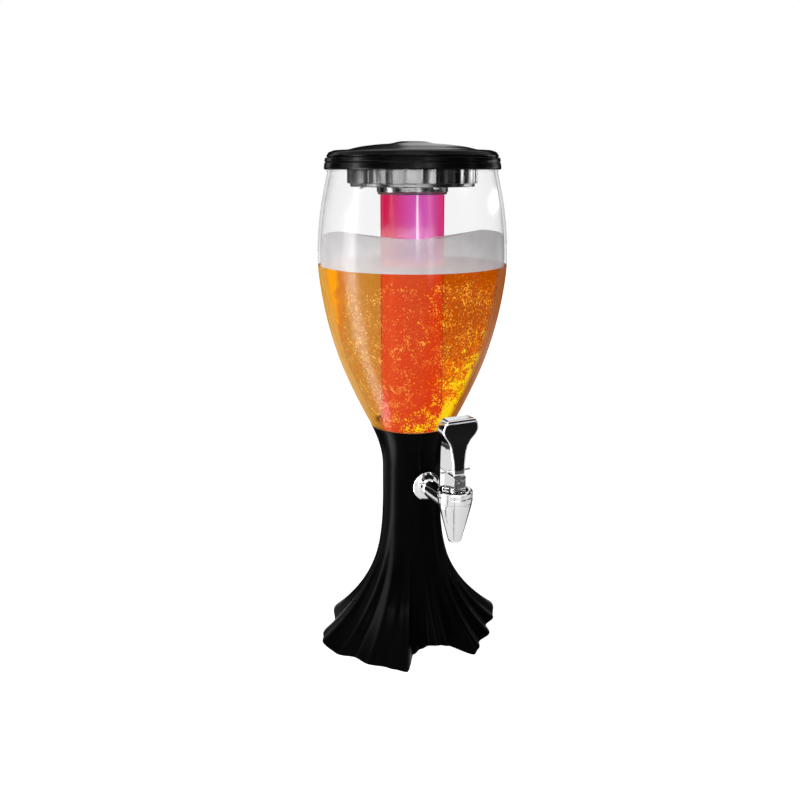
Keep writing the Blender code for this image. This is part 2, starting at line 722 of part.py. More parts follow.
def make_holder(lid):
    """The ribbed ring under the lid, with a floor that the cap and three screws go through."""
    foot = (0, AXIS_Y, 0)
    steps = 2 * RIB_COUNT

    def circle(radius, height, valley=0.0):
        points = []
        for i in range(steps):
            angle = math.tau * (i + 1 / 2) / steps
            reach = radius - valley * (i % 2)
            points.append((reach * math.cos(angle), reach * math.sin(angle), height))
        return points

    foot_radius = HOLDER_RADIUS - HOLDER_FOOT_STEP
    bore = HOLDER_RADIUS - RIB_DEPTH - HOLDER_WALL
    hole = CAP_RADIUS + GAP
    rings = [
        circle(HOLDER_RADIUS, HOLDER_TOP, RIB_DEPTH),
        circle(HOLDER_RADIUS, HOLDER_FLOOR, RIB_DEPTH),
        circle(foot_radius, HOLDER_FLOOR),
        circle(foot_radius, HOLDER_BOTTOM),
        circle(hole, HOLDER_BOTTOM),
        circle(hole, HOLDER_FLOOR),
        circle(bore, HOLDER_FLOOR),
        circle(bore, HOLDER_TOP),
    ]
    holder = loft("tube_holder", rings, BLACK, lid, foot, closed=True)
    screw_tip = HOLDER_BOTTOM + HOLDER_SCREW_LENGTH
    for i in range(SCREW_COUNT):
        x, y = around(360 * i / SCREW_COUNT, HOLDER_SCREW_CIRCLE)
        cut(holder, disc(
            f"holder_hole_{i + 1}", HOLDER_SCREW_RADIUS + GAP, HOLDER_BOTTOM - OVERRUN,
            HOLDER_FLOOR + OVERRUN / 2, TINY_ROUND, location=(x, y, 0),
        ))
        make_screw(
            f"holder_screw_{i + 1}", (x, y, HOLDER_BOTTOM - GAP), HOLDER_SCREW_RADIUS,
            screw_tip - HOLDER_BOTTOM, SCREW_HEAD_RADIUS, lid,
        )


def make_screw(name, location, radius, length, head_radius, parent):
    """A pan-head screw driven upwards. Its place is the bearing face of its head."""
    profile = [
        (0, length),
        (radius / 2, length),
        (radius, length - radius),
        (radius, 0),
        (head_radius, 0),
        (head_radius, -SCREW_HEAD_HEIGHT / 2),
        (head_radius / 2, -SCREW_HEAD_HEIGHT),
        (0, -SCREW_HEAD_HEIGHT),
    ]
    return turned(name, profile, TINY_ROUND, STEEL, parent, location)


def sector(name, inner, outer, bottom, top, start, end, location):
    """A cutter or lug shaped as a piece of a ring, between two angles."""
    steps = max(2, round((end - start) / 8))
    rings = []
    for i in range(steps + 1):
        angle = math.radians(start + (end - start) * i / steps)
        x, y = math.cos(angle), math.sin(angle)
        rings.append([
            (inner * x, inner * y, bottom),
            (outer * x, outer * y, bottom),
            (outer * x, outer * y, top),
            (inner * x, inner * y, top),
        ])
    return loft(name, rings, location=location)


def make_cap(lid):
    """The collar that grips the tube, with an entry slot and a turning pocket for each lug."""
    foot = (0, AXIS_Y, 0)
    flange_bottom = HOLDER_FLOOR + GAP
    flange_top = flange_bottom + CAP_FLANGE_THICKNESS
    profile = [
        (CAP_RADIUS, CAP_TOP),
        (CAP_RADIUS, flange_top),
        (CAP_RADIUS + CAP_FLANGE_WIDTH, flange_top),
        (CAP_RADIUS + CAP_FLANGE_WIDTH, flange_bottom),
        (CAP_RADIUS, flange_bottom),
        (CAP_RADIUS, CAP_BOTTOM),
        (CAP_BORE, CAP_BOTTOM),
        (CAP_BORE, CAP_TOP),
    ]
    cap = turned("tube_cap", profile, LARGE_ROUND, BLACK, lid, foot, closed=True)
    pocket_top = CAP_TOP - LUG_DROP + GAP
    pocket_bottom = pocket_top - LUG_HEIGHT - 2 * GAP
    depth = TUBE_RADIUS + LUG_DEPTH + RUNNING_GAP
    inside = TUBE_RADIUS - LUG_DEPTH
    half = LUG_ANGLE / 2 + math.degrees(RUNNING_GAP / TUBE_RADIUS)
    for i in range(LUG_COUNT):
        middle = 360 * i / LUG_COUNT
        cut(cap, sector(
            f"lug_pocket_{i + 1}", inside, depth, pocket_bottom, pocket_top,
            middle - half, middle + LUG_TURN + half, foot,
        ))
        cut(cap, sector(
            f"lug_slot_{i + 1}", inside, depth, CAP_BOTTOM - OVERRUN, (pocket_bottom + pocket_top) / 2,
            middle + LUG_TURN - half, middle + LUG_TURN + half, foot,
        ))


def make_tube(tube):
    foot = (0, AXIS_Y, 0)
    bottom = tube_bottom()
    top = CAP_TOP
    arc = [math.radians(angle) for angle in (0, 45, 90)]
    outer = [(TUBE_RADIUS, top)]
    inner = [(TUBE_RADIUS - TUBE_WALL, top)]
    centre = TUBE_RADIUS - TUBE_BOTTOM_RADIUS
    for angle in arc:
        across, down = math.cos(angle), math.sin(angle)
        height = bottom + TUBE_BOTTOM_RADIUS * (1 - down)
        outer.append((centre + TUBE_BOTTOM_RADIUS * across, height))
        small = TUBE_BOTTOM_RADIUS - TUBE_WALL
        inner.append((centre + small * across, bottom + TUBE_WALL + small * (1 - down)))
    profile = [(0, bottom + TUBE_WALL), *reversed(inner), *outer, (0, bottom)]
    body = turned("ice_tube", profile, LARGE_ROUND, CLEAR, tube, foot)
    lug_top = CAP_TOP - LUG_DROP
    for i in range(LUG_COUNT):
        middle = 360 * i / LUG_COUNT
        join(body, sector(
            f"tube_lug_{i + 1}", TUBE_RADIUS - TUBE_WALL / 2, TUBE_RADIUS + LUG_DEPTH,
            lug_top - LUG_HEIGHT, lug_top, middle - LUG_ANGLE / 2, middle + LUG_ANGLE / 2, foot,
        ))
    ring(
        "tube_seal", TUBE_RADIUS + GAP / 2, TUBE_RADIUS + CAP_WALL - GAP,
        CAP_BOTTOM - GAP - TUBE_SEAL_HEIGHT, CAP_BOTTOM - GAP, LARGE_ROUND, SILICONE, tube, foot,
    )


def tube_bottom():
    """The tube ends just above the throat of the bowl, where its lining has narrowed to the tube."""
    wanted = TUBE_RADIUS + RUNNING_GAP
    rise = (wanted + VESSEL_WALL + BASE_WALL + GAP - WAIST_RADIUS) / (RIM_RADIUS - WAIST_RADIUS)
    return CUP_START + CUP_HEIGHT * rise ** (1 / CUP_CURVE) + TUBE_THROAT_GAP


def make_tap_fixings(tower):
    """The rose, washer, gasket and nut that clamp the tap through base and vessel."""
    at_tap = (0, AXIS_Y, TAP_HEIGHT)
    hole = SHANK_RADIUS + GAP
    washer = ring(
        "tap_washer", hole, ROSE_RADIUS - WASHER_INSET, PAD_FACE + GAP, PAD_FACE + GAP + WASHER_THICKNESS,
        MIDDLE_ROUND, RUBBER, tower, at_tap,
    )
    front = ROSE_BACK + ROSE_THICKNESS
    shoulder_out, shoulder_up = ROSE_SHOULDER_SHARES
    profile = [
        (hole, front),
        (ARM_RADIUS, front),
        (ROSE_RADIUS * shoulder_out, ROSE_BACK + ROSE_THICKNESS * shoulder_up),
        (ROSE_RADIUS, ROSE_BACK + ROSE_EDGE),
        (ROSE_RADIUS, ROSE_BACK),
        (hole, ROSE_BACK),
    ]
    rose = turned("tap_flange", profile, MIDDLE_ROUND, CHROME, tower, at_tap, closed=True)
    gasket = ring(
        "tap_gasket", hole, GASKET_RADIUS, TAP_BOSS_FACE - GAP - GASKET_THICKNESS, TAP_BOSS_FACE - GAP,
        MIDDLE_ROUND, SILICONE, tower, at_tap,
    )
    nut = disc("tap_nut", NUT_RADIUS, NUT_FACE, NUT_FACE + NUT_THICKNESS, NUT_SIDES, STEEL, tower, at_tap)
    bore = disc("nut_bore", hole, NUT_FACE - OVERRUN, TAP_BOSS_FACE, SMALL_ROUND, location=at_tap)
    cut(nut, facing_tap(bore))
    for piece in (washer, rose, gasket, nut):
        facing_tap(piece)


def make_tap_body(tower):
    at_axis = (0, TAP_Y, 0)
    at_tap = (0, AXIS_Y, TAP_HEIGHT)
    profile = [
        (0, SPIGOT_TOP),
        (SPIGOT_RADIUS, SPIGOT_TOP),
        (SPIGOT_RADIUS, SPOUT_TOP),
        (SPOUT_TOP_RADIUS, SPOUT_TOP),
        (SPOUT_TOP_RADIUS, SPOUT_TOP - COLLAR_LIP / 2),
        (SPOUT_TIP_RADIUS + (SPOUT_TOP_RADIUS - SPOUT_TIP_RADIUS) * SPOUT_MIDDLE_SHARE, SPOUT_TOP - SPOUT_LENGTH / 2),
        (SPOUT_TIP_RADIUS, SPOUT_BOTTOM),
        (0, SPOUT_BOTTOM),
    ]
    body = turned("tap_body", profile, MIDDLE_ROUND, CHROME, tower, at_axis)
    arm_profile = [
        (0, TAP_REACH),
        (ARM_RADIUS + ARM_SWELL, TAP_REACH),
        (ARM_RADIUS, ARM_START + ROSE_THICKNESS),
        (ARM_RADIUS, ARM_START),
        (SHANK_RADIUS, ARM_START),
        (SHANK_RADIUS, SHANK_END),
        (0, SHANK_END),
    ]
    arm = facing_tap(turned("tap_arm", arm_profile, MIDDLE_ROUND, location=at_tap))
    cut(arm, disc(
        "collar_room", COLLAR_RADIUS + GAP, SPOUT_TOP - GAP, COLLAR_TOP + OVERRUN, MIDDLE_ROUND, location=at_axis
    ))
    chamber = [
        (0, SPIGOT_TOP + OVERRUN),
        (CHAMBER_RADIUS, SPIGOT_TOP + OVERRUN),
        (CHAMBER_RADIUS, CHAMBER_FLOOR + FLOW_BORE),
        (CHAMBER_RADIUS * SEAT_CUP_TIP_SHARE + GAP, CHAMBER_FLOOR),
        (SPOUT_BORE, CHAMBER_FLOOR),
        (SPOUT_BORE, SPOUT_BOTTOM - OVERRUN),
        (0, SPOUT_BOTTOM - OVERRUN),
    ]
    join(body, arm)
    cut(body, turned("tap_chamber", chamber, MIDDLE_ROUND, location=at_axis))
    cut(body, facing_tap(disc(
        "tap_bore", FLOW_BORE, SHANK_END - OVERRUN, TAP_REACH - CHAMBER_RADIUS / 2, SMALL_ROUND, location=at_tap
    )))


def make_bonnet(tower):
    """The ring nut and the chrome turret that it holds down."""
    at_axis = (0, TAP_Y, 0)
    middle = (COLLAR_BOTTOM + COLLAR_TOP) / 2
    bore = COLLAR_RADIUS - COLLAR_WALL
    collar_profile = [
        (COLLAR_RADIUS - COLLAR_LIP_WIDTH, COLLAR_TOP),
        (COLLAR_RADIUS, COLLAR_TOP - COLLAR_LIP_WIDTH),
        (COLLAR_RADIUS, middle + GROOVE_WIDTH / 2),
        (COLLAR_RADIUS - GROOVE_DEPTH / 2, middle),
        (COLLAR_RADIUS, middle - GROOVE_WIDTH / 2),
        (COLLAR_RADIUS, COLLAR_BOTTOM),
        (bore, COLLAR_BOTTOM),
        (bore, BONNET_TOP + GAP),
        (COLLAR_OPENING, BONNET_TOP + GAP),
        (COLLAR_OPENING, COLLAR_TOP),
    ]
    turned("collar_nut", collar_profile, MIDDLE_ROUND, CHROME, tower, at_axis, closed=True)
    bonnet = disc("bonnet", SPIGOT_RADIUS, BONNET_BOTTOM, BONNET_TOP, MIDDLE_ROUND, CHROME, tower, at_axis)
    half = TURRET_WIDTH / 2
    turret = box(
        "turret", (-half, -TURRET_FRONT, BONNET_BOTTOM + BONNET_FLANGE / 2),
        (half, TURRET_RADIUS + OVERRUN, TURRET_TOP), location=at_axis,
    )
    round_back = disc("turret_round", TURRET_RADIUS, BONNET_BOTTOM, TURRET_TOP + OVERRUN, MIDDLE_ROUND, location=at_axis)
    combine(turret, round_back, "INTERSECT")
    join(bonnet, turret)
    cut(bonnet, disc(
        "rod_bore", ROD_RADIUS + RUNNING_GAP, BONNET_BOTTOM - OVERRUN, TURRET_TOP + OVERRUN,
        SMALL_ROUND, location=at_axis,
    ))
    head_room = HEAD_WIDTH / 2 + RUNNING_GAP
    cut(bonnet, box(
        "head_room", (-head_room, -head_room, HEAD_BOTTOM - 2 * GAP),
        (head_room, head_room, TURRET_TOP + OVERRUN), location=at_axis,
    ))


def make_plunger(plunger):
    at_axis = (0, TAP_Y, 0)
    grip = ROD_RADIUS + GAP
    cup_profile = [
        (0, ROD_BOTTOM - GAP),
        (grip, ROD_BOTTOM - GAP),
        (grip, SEAT_CUP_TOP),
        (SEAT_CUP_RADIUS, SEAT_CUP_TOP),
        (SEAT_CUP_RADIUS, SEAT_CUP_TOP - SEAT_CUP_HEIGHT / 4),
        (SEAT_CUP_RADIUS * SEAT_CUP_CONE_SHARE, SEAT_CUP_BOTTOM + SEAT_CUP_HEIGHT / 3),
        (SEAT_CUP_RADIUS * SEAT_CUP_TIP_SHARE, SEAT_CUP_BOTTOM),
        (0, SEAT_CUP_BOTTOM),
    ]
    turned("plunger_seal", cup_profile, SMALL_ROUND, SILICONE, plunger, at_axis)
    rod = disc("plunger", ROD_RADIUS, ROD_BOTTOM, HEAD_BOTTOM + HEAD_RISE / 2, SMALL_ROUND, STEEL, plunger, at_axis)
    half_width, half_depth = HEAD_WIDTH / 2, HEAD_DEPTH / 2
    head = box("plunger_head", (-half_width, -half_depth, HEAD_BOTTOM), (half_width, half_depth, HEAD_TOP), location=at_axis)
    join(rod, head)
    at_pin = (0, TAP_Y, PIN_HEIGHT)
    half_pin = PIN_LENGTH / 2
    cut(rod, across_tap(disc(
        "head_hole", PIN_RADIUS + GAP, -half_pin, half_pin, TINY_ROUND, location=at_pin
    )))
    across_tap(disc("lever_pin", PIN_RADIUS, -half_pin, half_pin, TINY_ROUND, STEEL, plunger, at_pin))


def lever_section(share):
    """Half widths and reaches of the lever at a share of its height, in metres."""
    scales = (LEVER_WIDTH, LEVER_WIDTH, LEVER_DEPTH, LEVER_DEPTH)
    values = []
    for column, scale in enumerate(scales, start=1):
        pairs = [(row[0], row[column]) for row in LEVER_SHARES]
        values.append(scale * smooth_at(pairs, share))
    return values


def make_lever(lever):
    at_pin = (0, TAP_Y, PIN_HEIGHT)
    rings = []
    for share, *_ in LEVER_SHARES:
        front_width, rear_width, front, rear = lever_section(share)
        height = LEVER_HEIGHT * share - LEVER_DROP
        corner = LEVER_CORNER
        half = [
            (front_width - corner, -front),
            (front_width, -front + corner),
            (rear_width, rear - 2 * corner),
            (rear_width - 2 * corner, rear),
        ]
        right = [(x, y, height) for x, y in half]
        left = [(-x, y, height) for x, y in reversed(half)]
        rings.append(right + left)
    handle = loft("lever", rings, CHROME, lever, at_pin)
    half_slot = HEAD_WIDTH / 2 + GAP
    half_pin = PIN_LENGTH / 2
    slot = across_tap(disc("lever_slot", SLOT_RADIUS, -half_slot, half_slot, SMALL_ROUND, location=at_pin))
    hole = across_tap(disc("lever_hole", PIN_RADIUS + GAP, -half_pin, half_pin, TINY_ROUND, location=at_pin))
    pocket = insert_solid("lever_pocket", GAP, OVERRUN, None, None, at_pin)
    cut(handle, pocket, slot, hole)
    insert_solid("lever_insert", 0, INSERT_PROUD, INSERT, lever, at_pin)


def insert_solid(name, grow, proud, material, parent, location):
    """The black plate in the lever's face, or with grow and proud the pocket that it lies in."""
    bottom = INSERT_BOTTOM - grow
    top = INSERT_TOP + grow
    steps = 12
    rings = []
    for i in range(steps + 1):
        height = bottom + (top - bottom) * i / steps
        front_width, _, front, _ = lever_section((height + LEVER_DROP) / LEVER_HEIGHT)
        half = front_width - INSERT_BORDER + grow
        back = front - INSERT_THICKNESS + INSERT_PROUD - grow
        rings.append([
            (half, -front - proud, height),
            (half, -back, height),
            (-half, -back, height),
            (-half, -front - proud, height),
        ])
    return loft(name, rings, material, parent, location)


def make_light(tower):
    """The light unit that screws up under the ledge and shines through the vessel's floor."""
    foot = (0, AXIS_Y, 0)
    profile = [
        (HOUSING_FLANGE_RADIUS, HOUSING_TOP),
        (HOUSING_FLANGE_RADIUS, FLANGE_BOTTOM),
        (HOUSING_RADIUS, FLANGE_BOTTOM),
        (HOUSING_RADIUS, HOUSING_BOTTOM),
        (BATTERY_BORE, HOUSING_BOTTOM),
        (BATTERY_BORE, HOUSING_STEP_TOP),
        (HOUSING_BORE, HOUSING_STEP_TOP),
        (HOUSING_BORE, HOUSING_TOP),
    ]
    housing = turned("light_housing", profile, MIDDLE_ROUND, BLACK, tower, foot, closed=True)
    half_facet(housing, MIDDLE_ROUND)
    for i in range(SCREW_COUNT):
        x, y = around(60 + 360 * i / SCREW_COUNT, HOUSING_SCREW_CIRCLE)
        cut(housing, disc(
            f"flange_hole_{i + 1}", HOUSING_SCREW_RADIUS + GAP, FLANGE_BOTTOM - OVERRUN,
            HOUSING_TOP + OVERRUN, TINY_ROUND, location=(x, y, 0),
        ))
        make_screw(
            f"housing_screw_{i + 1}", (x, y, FLANGE_BOTTOM - GAP), HOUSING_SCREW_RADIUS,
            LEDGE_TOP - FLANGE_BOTTOM, HOUSING_SCREW_HEAD, tower,
        )
    lens_bottom = HOUSING_TOP + GAP
    flange_top = lens_bottom + LENS_FLANGE_THICKNESS
    lens_radius = WINDOW_RADIUS - GAP
    lens = [
        (0, flange_top + LENS_RISE),
        (lens_radius - LENS_RISE, flange_top + LENS_RISE),
        (lens_radius, flange_top + LENS_RISE / 2),
        (lens_radius, flange_top),
        (LENS_FLANGE_RADIUS, flange_top),
        (LENS_FLANGE_RADIUS, lens_bottom),
        (0, lens_bottom),
    ]
    turned("light_lens", lens, MIDDLE_ROUND, CLEAR, tower, foot)
    disc("circuit_board", HOUSING_BORE - GAP, BOARD_BOTTOM, BOARD_TOP, SMALL_ROUND, BOARD, tower, foot)
    for i in range(LED_COUNT):
        x, y = around(45 + 360 * i / LED_COUNT, LED_CIRCLE)
        straight = LED_HEIGHT - LED_RADIUS
        dome = [
            (0, LED_HEIGHT),
            (LED_RADIUS * LED_DOME_SHARE, straight + LED_RADIUS * LED_DOME_SHARE),
            (LED_RADIUS, straight),
            (LED_RADIUS, 0),
            (0, 0),
        ]
        turned(f"led_{i + 1}", dome, TINY_ROUND, DIODE, tower, (x, y, BOARD_TOP + GAP))
    ring(
        "upper_contact", CONTACT_HOLE / 2, CONTACT_RADIUS, UPPER_CONTACT_BOTTOM,
        UPPER_CONTACT_BOTTOM + CONTACT_THICKNESS, SMALL_ROUND, STEEL, tower, foot,
    )
    for i in range(BATTERY_COUNT):
        x, y = around(360 * i / BATTERY_COUNT, BATTERY_CIRCLE)
        cell = [
            (0, BATTERY_LENGTH + BATTERY_NUB_HEIGHT),
            (BATTERY_NUB_RADIUS, BATTERY_LENGTH + BATTERY_NUB_HEIGHT),
            (BATTERY_NUB_RADIUS, BATTERY_LENGTH),
            (BATTERY_RADIUS, BATTERY_LENGTH),
            (BATTERY_RADIUS, 0),
            (0, 0),
        ]
        turned(f"battery_{i + 1}", cell, SMALL_ROUND, CELL, tower, (x, y, BATTERY_BOTTOM))


def make_battery_cover(cover, button):
    foot = (0, AXIS_Y, 0)
    hole = BUTTON_RADIUS + RUNNING_GAP / 2
    pocket = BUTTON_RADIUS + BUTTON_FLANGE + GAP
    plug_radius = BATTERY_BORE - GAP
    lid_top = HOUSING_BOTTOM - GAP
    profile = [
        (plug_radius, COVER_TOP),
        (plug_radius, lid_top),
        (HOUSING_RADIUS, lid_top),
        (HOUSING_RADIUS, COVER_BOTTOM + BUTTON_FLANGE),
        (HOUSING_RADIUS - BUTTON_FLANGE, COVER_BOTTOM),
        (hole, COVER_BOTTOM),
        (hole, BUTTON_SHELF - GAP),
        (pocket, BUTTON_SHELF - GAP),
        (pocket, COVER_TOP),
    ]
    door = turned("battery_cover", profile, MIDDLE_ROUND, BLACK, cover, foot, closed=True)
    half = COIN_SLOT_WIDTH / 2
    for side in (-1, 1):
        near, far = side * (hole + COIN_SLOT_WIDTH), side * (HOUSING_RADIUS - COIN_SLOT_WIDTH)
        cut(door, box(
            f"coin_slot_{side}", (min(near, far), -half, COVER_BOTTOM - OVERRUN),
            (max(near, far), half, COVER_BOTTOM + COIN_SLOT_DEPTH), location=foot,
        ))
    ring(
        "lower_contact", CONTACT_HOLE, CONTACT_RADIUS, LOWER_CONTACT_BOTTOM,
        LOWER_CONTACT_BOTTOM + CONTACT_THICKNESS, SMALL_ROUND, STEEL, cover, foot,
    )
    press = [
        (0, BUTTON_SHELF + BUTTON_FLANGE_THICKNESS),
        (BUTTON_RADIUS + BUTTON_FLANGE - GAP, BUTTON_SHELF + BUTTON_FLANGE_THICKNESS),
        (BUTTON_RADIUS + BUTTON_FLANGE - GAP, BUTTON_SHELF),
        (BUTTON_RADIUS, BUTTON_SHELF),
        (BUTTON_RADIUS, COVER_BOTTOM - BUTTON_PROUD + BUTTON_FLANGE / 2),
        (BUTTON_RADIUS - BUTTON_FLANGE / 2, COVER_BOTTOM - BUTTON_PROUD),
        (0, COVER_BOTTOM - BUTTON_PROUD),
    ]
    turned("switch_button", press, SMALL_ROUND, RUBBER, button, foot)


def main():
    foot = (0, AXIS_Y, 0)
    tower = add_empty("tower", foot)
    lid = add_empty("lid_joint", (0, AXIS_Y, LID_BOTTOM), tower)
    tube = add_empty("tube_joint", (0, AXIS_Y, CAP_BOTTOM), lid)
    plunger = add_empty("plunger_joint", (0, TAP_Y, PIN_HEIGHT), tower)
    lever = add_empty("lever_joint", (0, TAP_Y, PIN_HEIGHT), plunger)
    cover = add_empty("cover_joint", (0, AXIS_Y, COVER_BOTTOM), tower)
    button = add_empty("button_joint", (0, AXIS_Y, COVER_BOTTOM), cover)
    make_base(tower)
    make_vessel(tower)
    make_lid(lid)
    make_holder(lid)
    make_cap(lid)
    make_tube(tube)
    make_tap_fixings(tower)
    make_tap_body(tower)
    make_bonnet(tower)
    make_plunger(plunger)
    make_lever(lever)
    make_light(tower)
    make_battery_cover(cover, button)


main()
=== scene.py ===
"""Looks of the beer tower dispenser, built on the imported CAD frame.

Every part that shows is modelled again here at the CAD's own sizes, smoother and with its real finish.
The drink and its foam are contents, so they are drawn here only.
"""

import math

import bpy
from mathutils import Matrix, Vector


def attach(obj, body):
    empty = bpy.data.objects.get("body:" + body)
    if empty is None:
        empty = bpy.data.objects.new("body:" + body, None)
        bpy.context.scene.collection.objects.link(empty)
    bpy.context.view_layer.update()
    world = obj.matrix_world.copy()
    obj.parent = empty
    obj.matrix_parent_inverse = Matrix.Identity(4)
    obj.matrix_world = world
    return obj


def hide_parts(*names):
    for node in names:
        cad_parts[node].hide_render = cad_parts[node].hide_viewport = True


bl_info = {
    "name": "Beer tower dispenser",
    "version": (1, 0, 0),
    "blender": (4, 5, 0),
    "location": "View3D > Sidebar > Tower",
    "description": "Builds a table-top drink tower with a lit ice tube and a lever tap, and a studio round it",
    "category": "Add Mesh",
}

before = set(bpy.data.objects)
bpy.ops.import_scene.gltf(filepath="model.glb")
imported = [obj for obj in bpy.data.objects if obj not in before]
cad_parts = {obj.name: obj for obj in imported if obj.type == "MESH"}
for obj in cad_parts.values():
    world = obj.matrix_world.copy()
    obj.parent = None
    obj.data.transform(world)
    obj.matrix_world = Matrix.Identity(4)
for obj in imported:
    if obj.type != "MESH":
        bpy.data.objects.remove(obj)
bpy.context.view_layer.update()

# Fits, and how far a cutter reaches past what it cuts
GAP = 0.0003
RUNNING_GAP = 0.0006
OVERRUN = 0.004

# Roundings of edges
THIN_EDGE = 0.0001
FINE_EDGE = 0.0002
EDGE = 0.0003
SOFT_EDGE = 0.0004
HEM_EDGE = 0.0009
BAND_EDGE = 0.0012
WIDE_EDGE = 0.003
# In degrees: a corner flatter than this stays, and an edge sharper than this is bevelled
NEARLY_STRAIGHT = 168
SHARP_EDGE = 35

# Facets round a full turn
SHELL_FACETS = 360
LARGE_ROUND = 144
FOAM_FACETS = 120
MIDDLE_ROUND = 96
SMALL_ROUND = 48
TINY_ROUND = 24

# Where the tower's axis and the tap's axis stand
AXIS_Y = 0.007744
TAP_Y = -0.083256
FOOT = (0, AXIS_Y, 0)

# Base shell
BASE_WALL = 0.0026
LINING_SAMPLES = 6
FLARE_CURVE = 3.0
FLARE_HEIGHT = 0.158
CUP_CURVE = 1.8
CUP_START = 0.175
CUP_HEIGHT = 0.043
BASE_HEIGHT = CUP_START + CUP_HEIGHT
HEM_SHARES = (
    (-180, 0.93), (-160, 0.85), (-139, 0.91), (-118, 0.826), (-99, 0.958), (-90.6, 1.0), (-76, 0.98),
    (-64, 0.893), (-53.5, 0.921), (-43, 0.90), (-36, 0.92), (-28, 0.95), (-24, 0.64), (-16, 0.55), (-6, 0.51),
    (6, 0.55), (13, 0.61), (19, 0.894), (27, 0.86), (36, 0.80), (49, 0.85), (60, 0.80), (72, 0.90), (91, 1.0),
    (104, 0.94), (118, 0.83), (139, 0.91), (160, 0.85), (180, 0.93),
)
LEDGE_TOP = 0.121
LEDGE_BOTTOM = 0.118
WINDOW_RADIUS = 0.018
CAVITY_RADIUS = 0.0264

# Vessel
BOWL_BOTTOM = 0.2183
BOWL_HEIGHT = 0.2552
MOUTH_TOP = BOWL_BOTTOM + BOWL_HEIGHT
VESSEL_WALL = 0.0025
NECK_RADIUS = CAVITY_RADIUS - GAP
NECK_BOTTOM = LEDGE_TOP + GAP
NECK_CHAMFER = 0.002
THROAT_HALF = 0.006
# How far the mouth's rounded edge lies inside the bowl's radius, and how far under its top
MOUTH_EDGE = ((0.0018, 0.0), (0.0008, 0.0), (0.0002, 0.0003))
BOWL_SHARES = (
    (0.0, 0.451), (0.088, 0.579), (0.184, 0.703), (0.278, 0.806), (0.403, 0.906), (0.525, 0.972),
    (0.626, 1.0), (0.732, 0.989), (0.83, 0.956), (0.935, 0.897), (1.0, 0.855),
)
BEAD_HEIGHT = 0.0018
BEAD_RADIUS = 0.0013

# Lid
LID_BOTTOM = 0.464
LID_WALL = 0.0024
LID_SKIRT = 0.0125
LID_SHOULDER = 0.0049
LID_TOP_RADIUS = 0.0735
LID_RIM_TOP = LID_BOTTOM + LID_SKIRT + LID_SHOULDER
LID_DOME_HEIGHT = 0.0084
LID_BAND_STEP = 0.0013
LID_CEILING = 0.4756
GROOVE_DEPTH = 0.0011
GROOVE_WIDTH = 0.0014
DOME_SHARES = ((0.0, 1.0), (0.155, 0.99), (0.29, 0.76), (0.47, 0.63), (0.675, 0.4), (0.86, 0.05), (1.0, 0.0))

# Tube holder, its screws and the cap
HOLDER_RADIUS = 0.0614
HOLDER_BOTTOM = 0.4485
HOLDER_FLOOR = 0.4515
HOLDER_TOP = 0.4787
HOLDER_WALL = 0.0025
HOLDER_FOOT_STEP = 0.003
RIB_DEPTH = 0.0011
RIB_COUNT = 30
SCREW_CIRCLE = 0.049
BOSS_RADIUS = 0.0042
SCREW_RADIUS = 0.0015
SCREW_LENGTH = 0.012
SCREW_HEAD_RADIUS = 0.003
SCREW_HEAD_HEIGHT = 0.0018
CAP_RADIUS = 0.0335
CAP_BORE = 0.0309
CAP_BOTTOM = 0.4433
CAP_TOP = 0.4675
CAP_FLANGE_WIDTH = 0.0045
CAP_FLANGE_THICKNESS = 0.002

# Ice tube
TUBE_WALL = 0.002
TUBE_BOTTOM = 0.2093
TUBE_BOTTOM_RADIUS = 0.006
# How far the rounded edge at the tube's top lies inside its radius, and how far under its top
TUBE_EDGE = ((0.0008, 0.0), (0.0002, 0.0002), (0.0, 0.0008))
LUG_HEIGHT = 0.003
LUG_DEPTH = 0.0012
LUG_ANGLE = 16.0
LUG_TURN = 30.0
LUG_DROP = 0.005
LUG_PLACES = (0, 120, 240)
SEAL_HEIGHT = 0.0016
SEAL_WIDTH = 0.0023

# Tap, along its arm from the tower's axis
TAP_HEIGHT = 0.162
TAP_REACH = 0.091
PAD_RADIUS = 0.0145
PAD_FACE = 0.0305
SHANK_RADIUS = 0.006
SHANK_END = 0.0082
ROSE_RADIUS = 0.0142
ROSE_BACK = 0.0323
ROSE_THICKNESS = 0.0042
ROSE_EDGE = 0.0014
ROSE_RIM_EDGE = 0.001
WASHER_THICKNESS = 0.0012
WASHER_INSET = 0.0006
TAP_BOSS_FACE = 0.0188
TAP_BOSS_RADIUS = 0.0115
GASKET_THICKNESS = 0.002
GASKET_RADIUS = 0.0102
NUT_FACE = 0.0112
NUT_THICKNESS = 0.005
NUT_RADIUS = 0.011
ARM_START = 0.0368
ARM_RADIUS = 0.0083
ARM_SWELL = 0.0008
ARM_EDGE = 0.02
FLOW_BORE = 0.004
COLLAR_BOTTOM = 0.1685
COLLAR_TOP = 0.1787
COLLAR_RADIUS = 0.016
COLLAR_WALL = 0.0025
COLLAR_LIP_WIDTH = 0.0011
SPOUT_TOP = 0.1682
SPOUT_BOTTOM = 0.129
SPOUT_TOP_RADIUS = 0.0155
SPOUT_TIP_RADIUS = 0.006
SPOUT_BORE = 0.0046
SPOUT_SHARES = ((0.0, 0.0), (0.5, 0.54), (0.95, 1.0), (1.0, 1.0))
CHAMBER_FLOOR = 0.1497
SPIGOT_TOP = 0.1737
SPIGOT_RADIUS = 0.0132
CHAMBER_RADIUS = 0.0102
BONNET_BOTTOM = 0.174
BONNET_TOP = 0.1762
TURRET_RADIUS = 0.0118
TURRET_TOP = 0.1934
TURRET_WIDTH = 0.012
TURRET_FRONT = 0.0086
TURRET_SEAT = 0.0011
ROD_RADIUS = 0.0026
ROD_BOTTOM = 0.1535
SEAT_CUP_BOTTOM = 0.15
SEAT_CUP_TOP = 0.1645
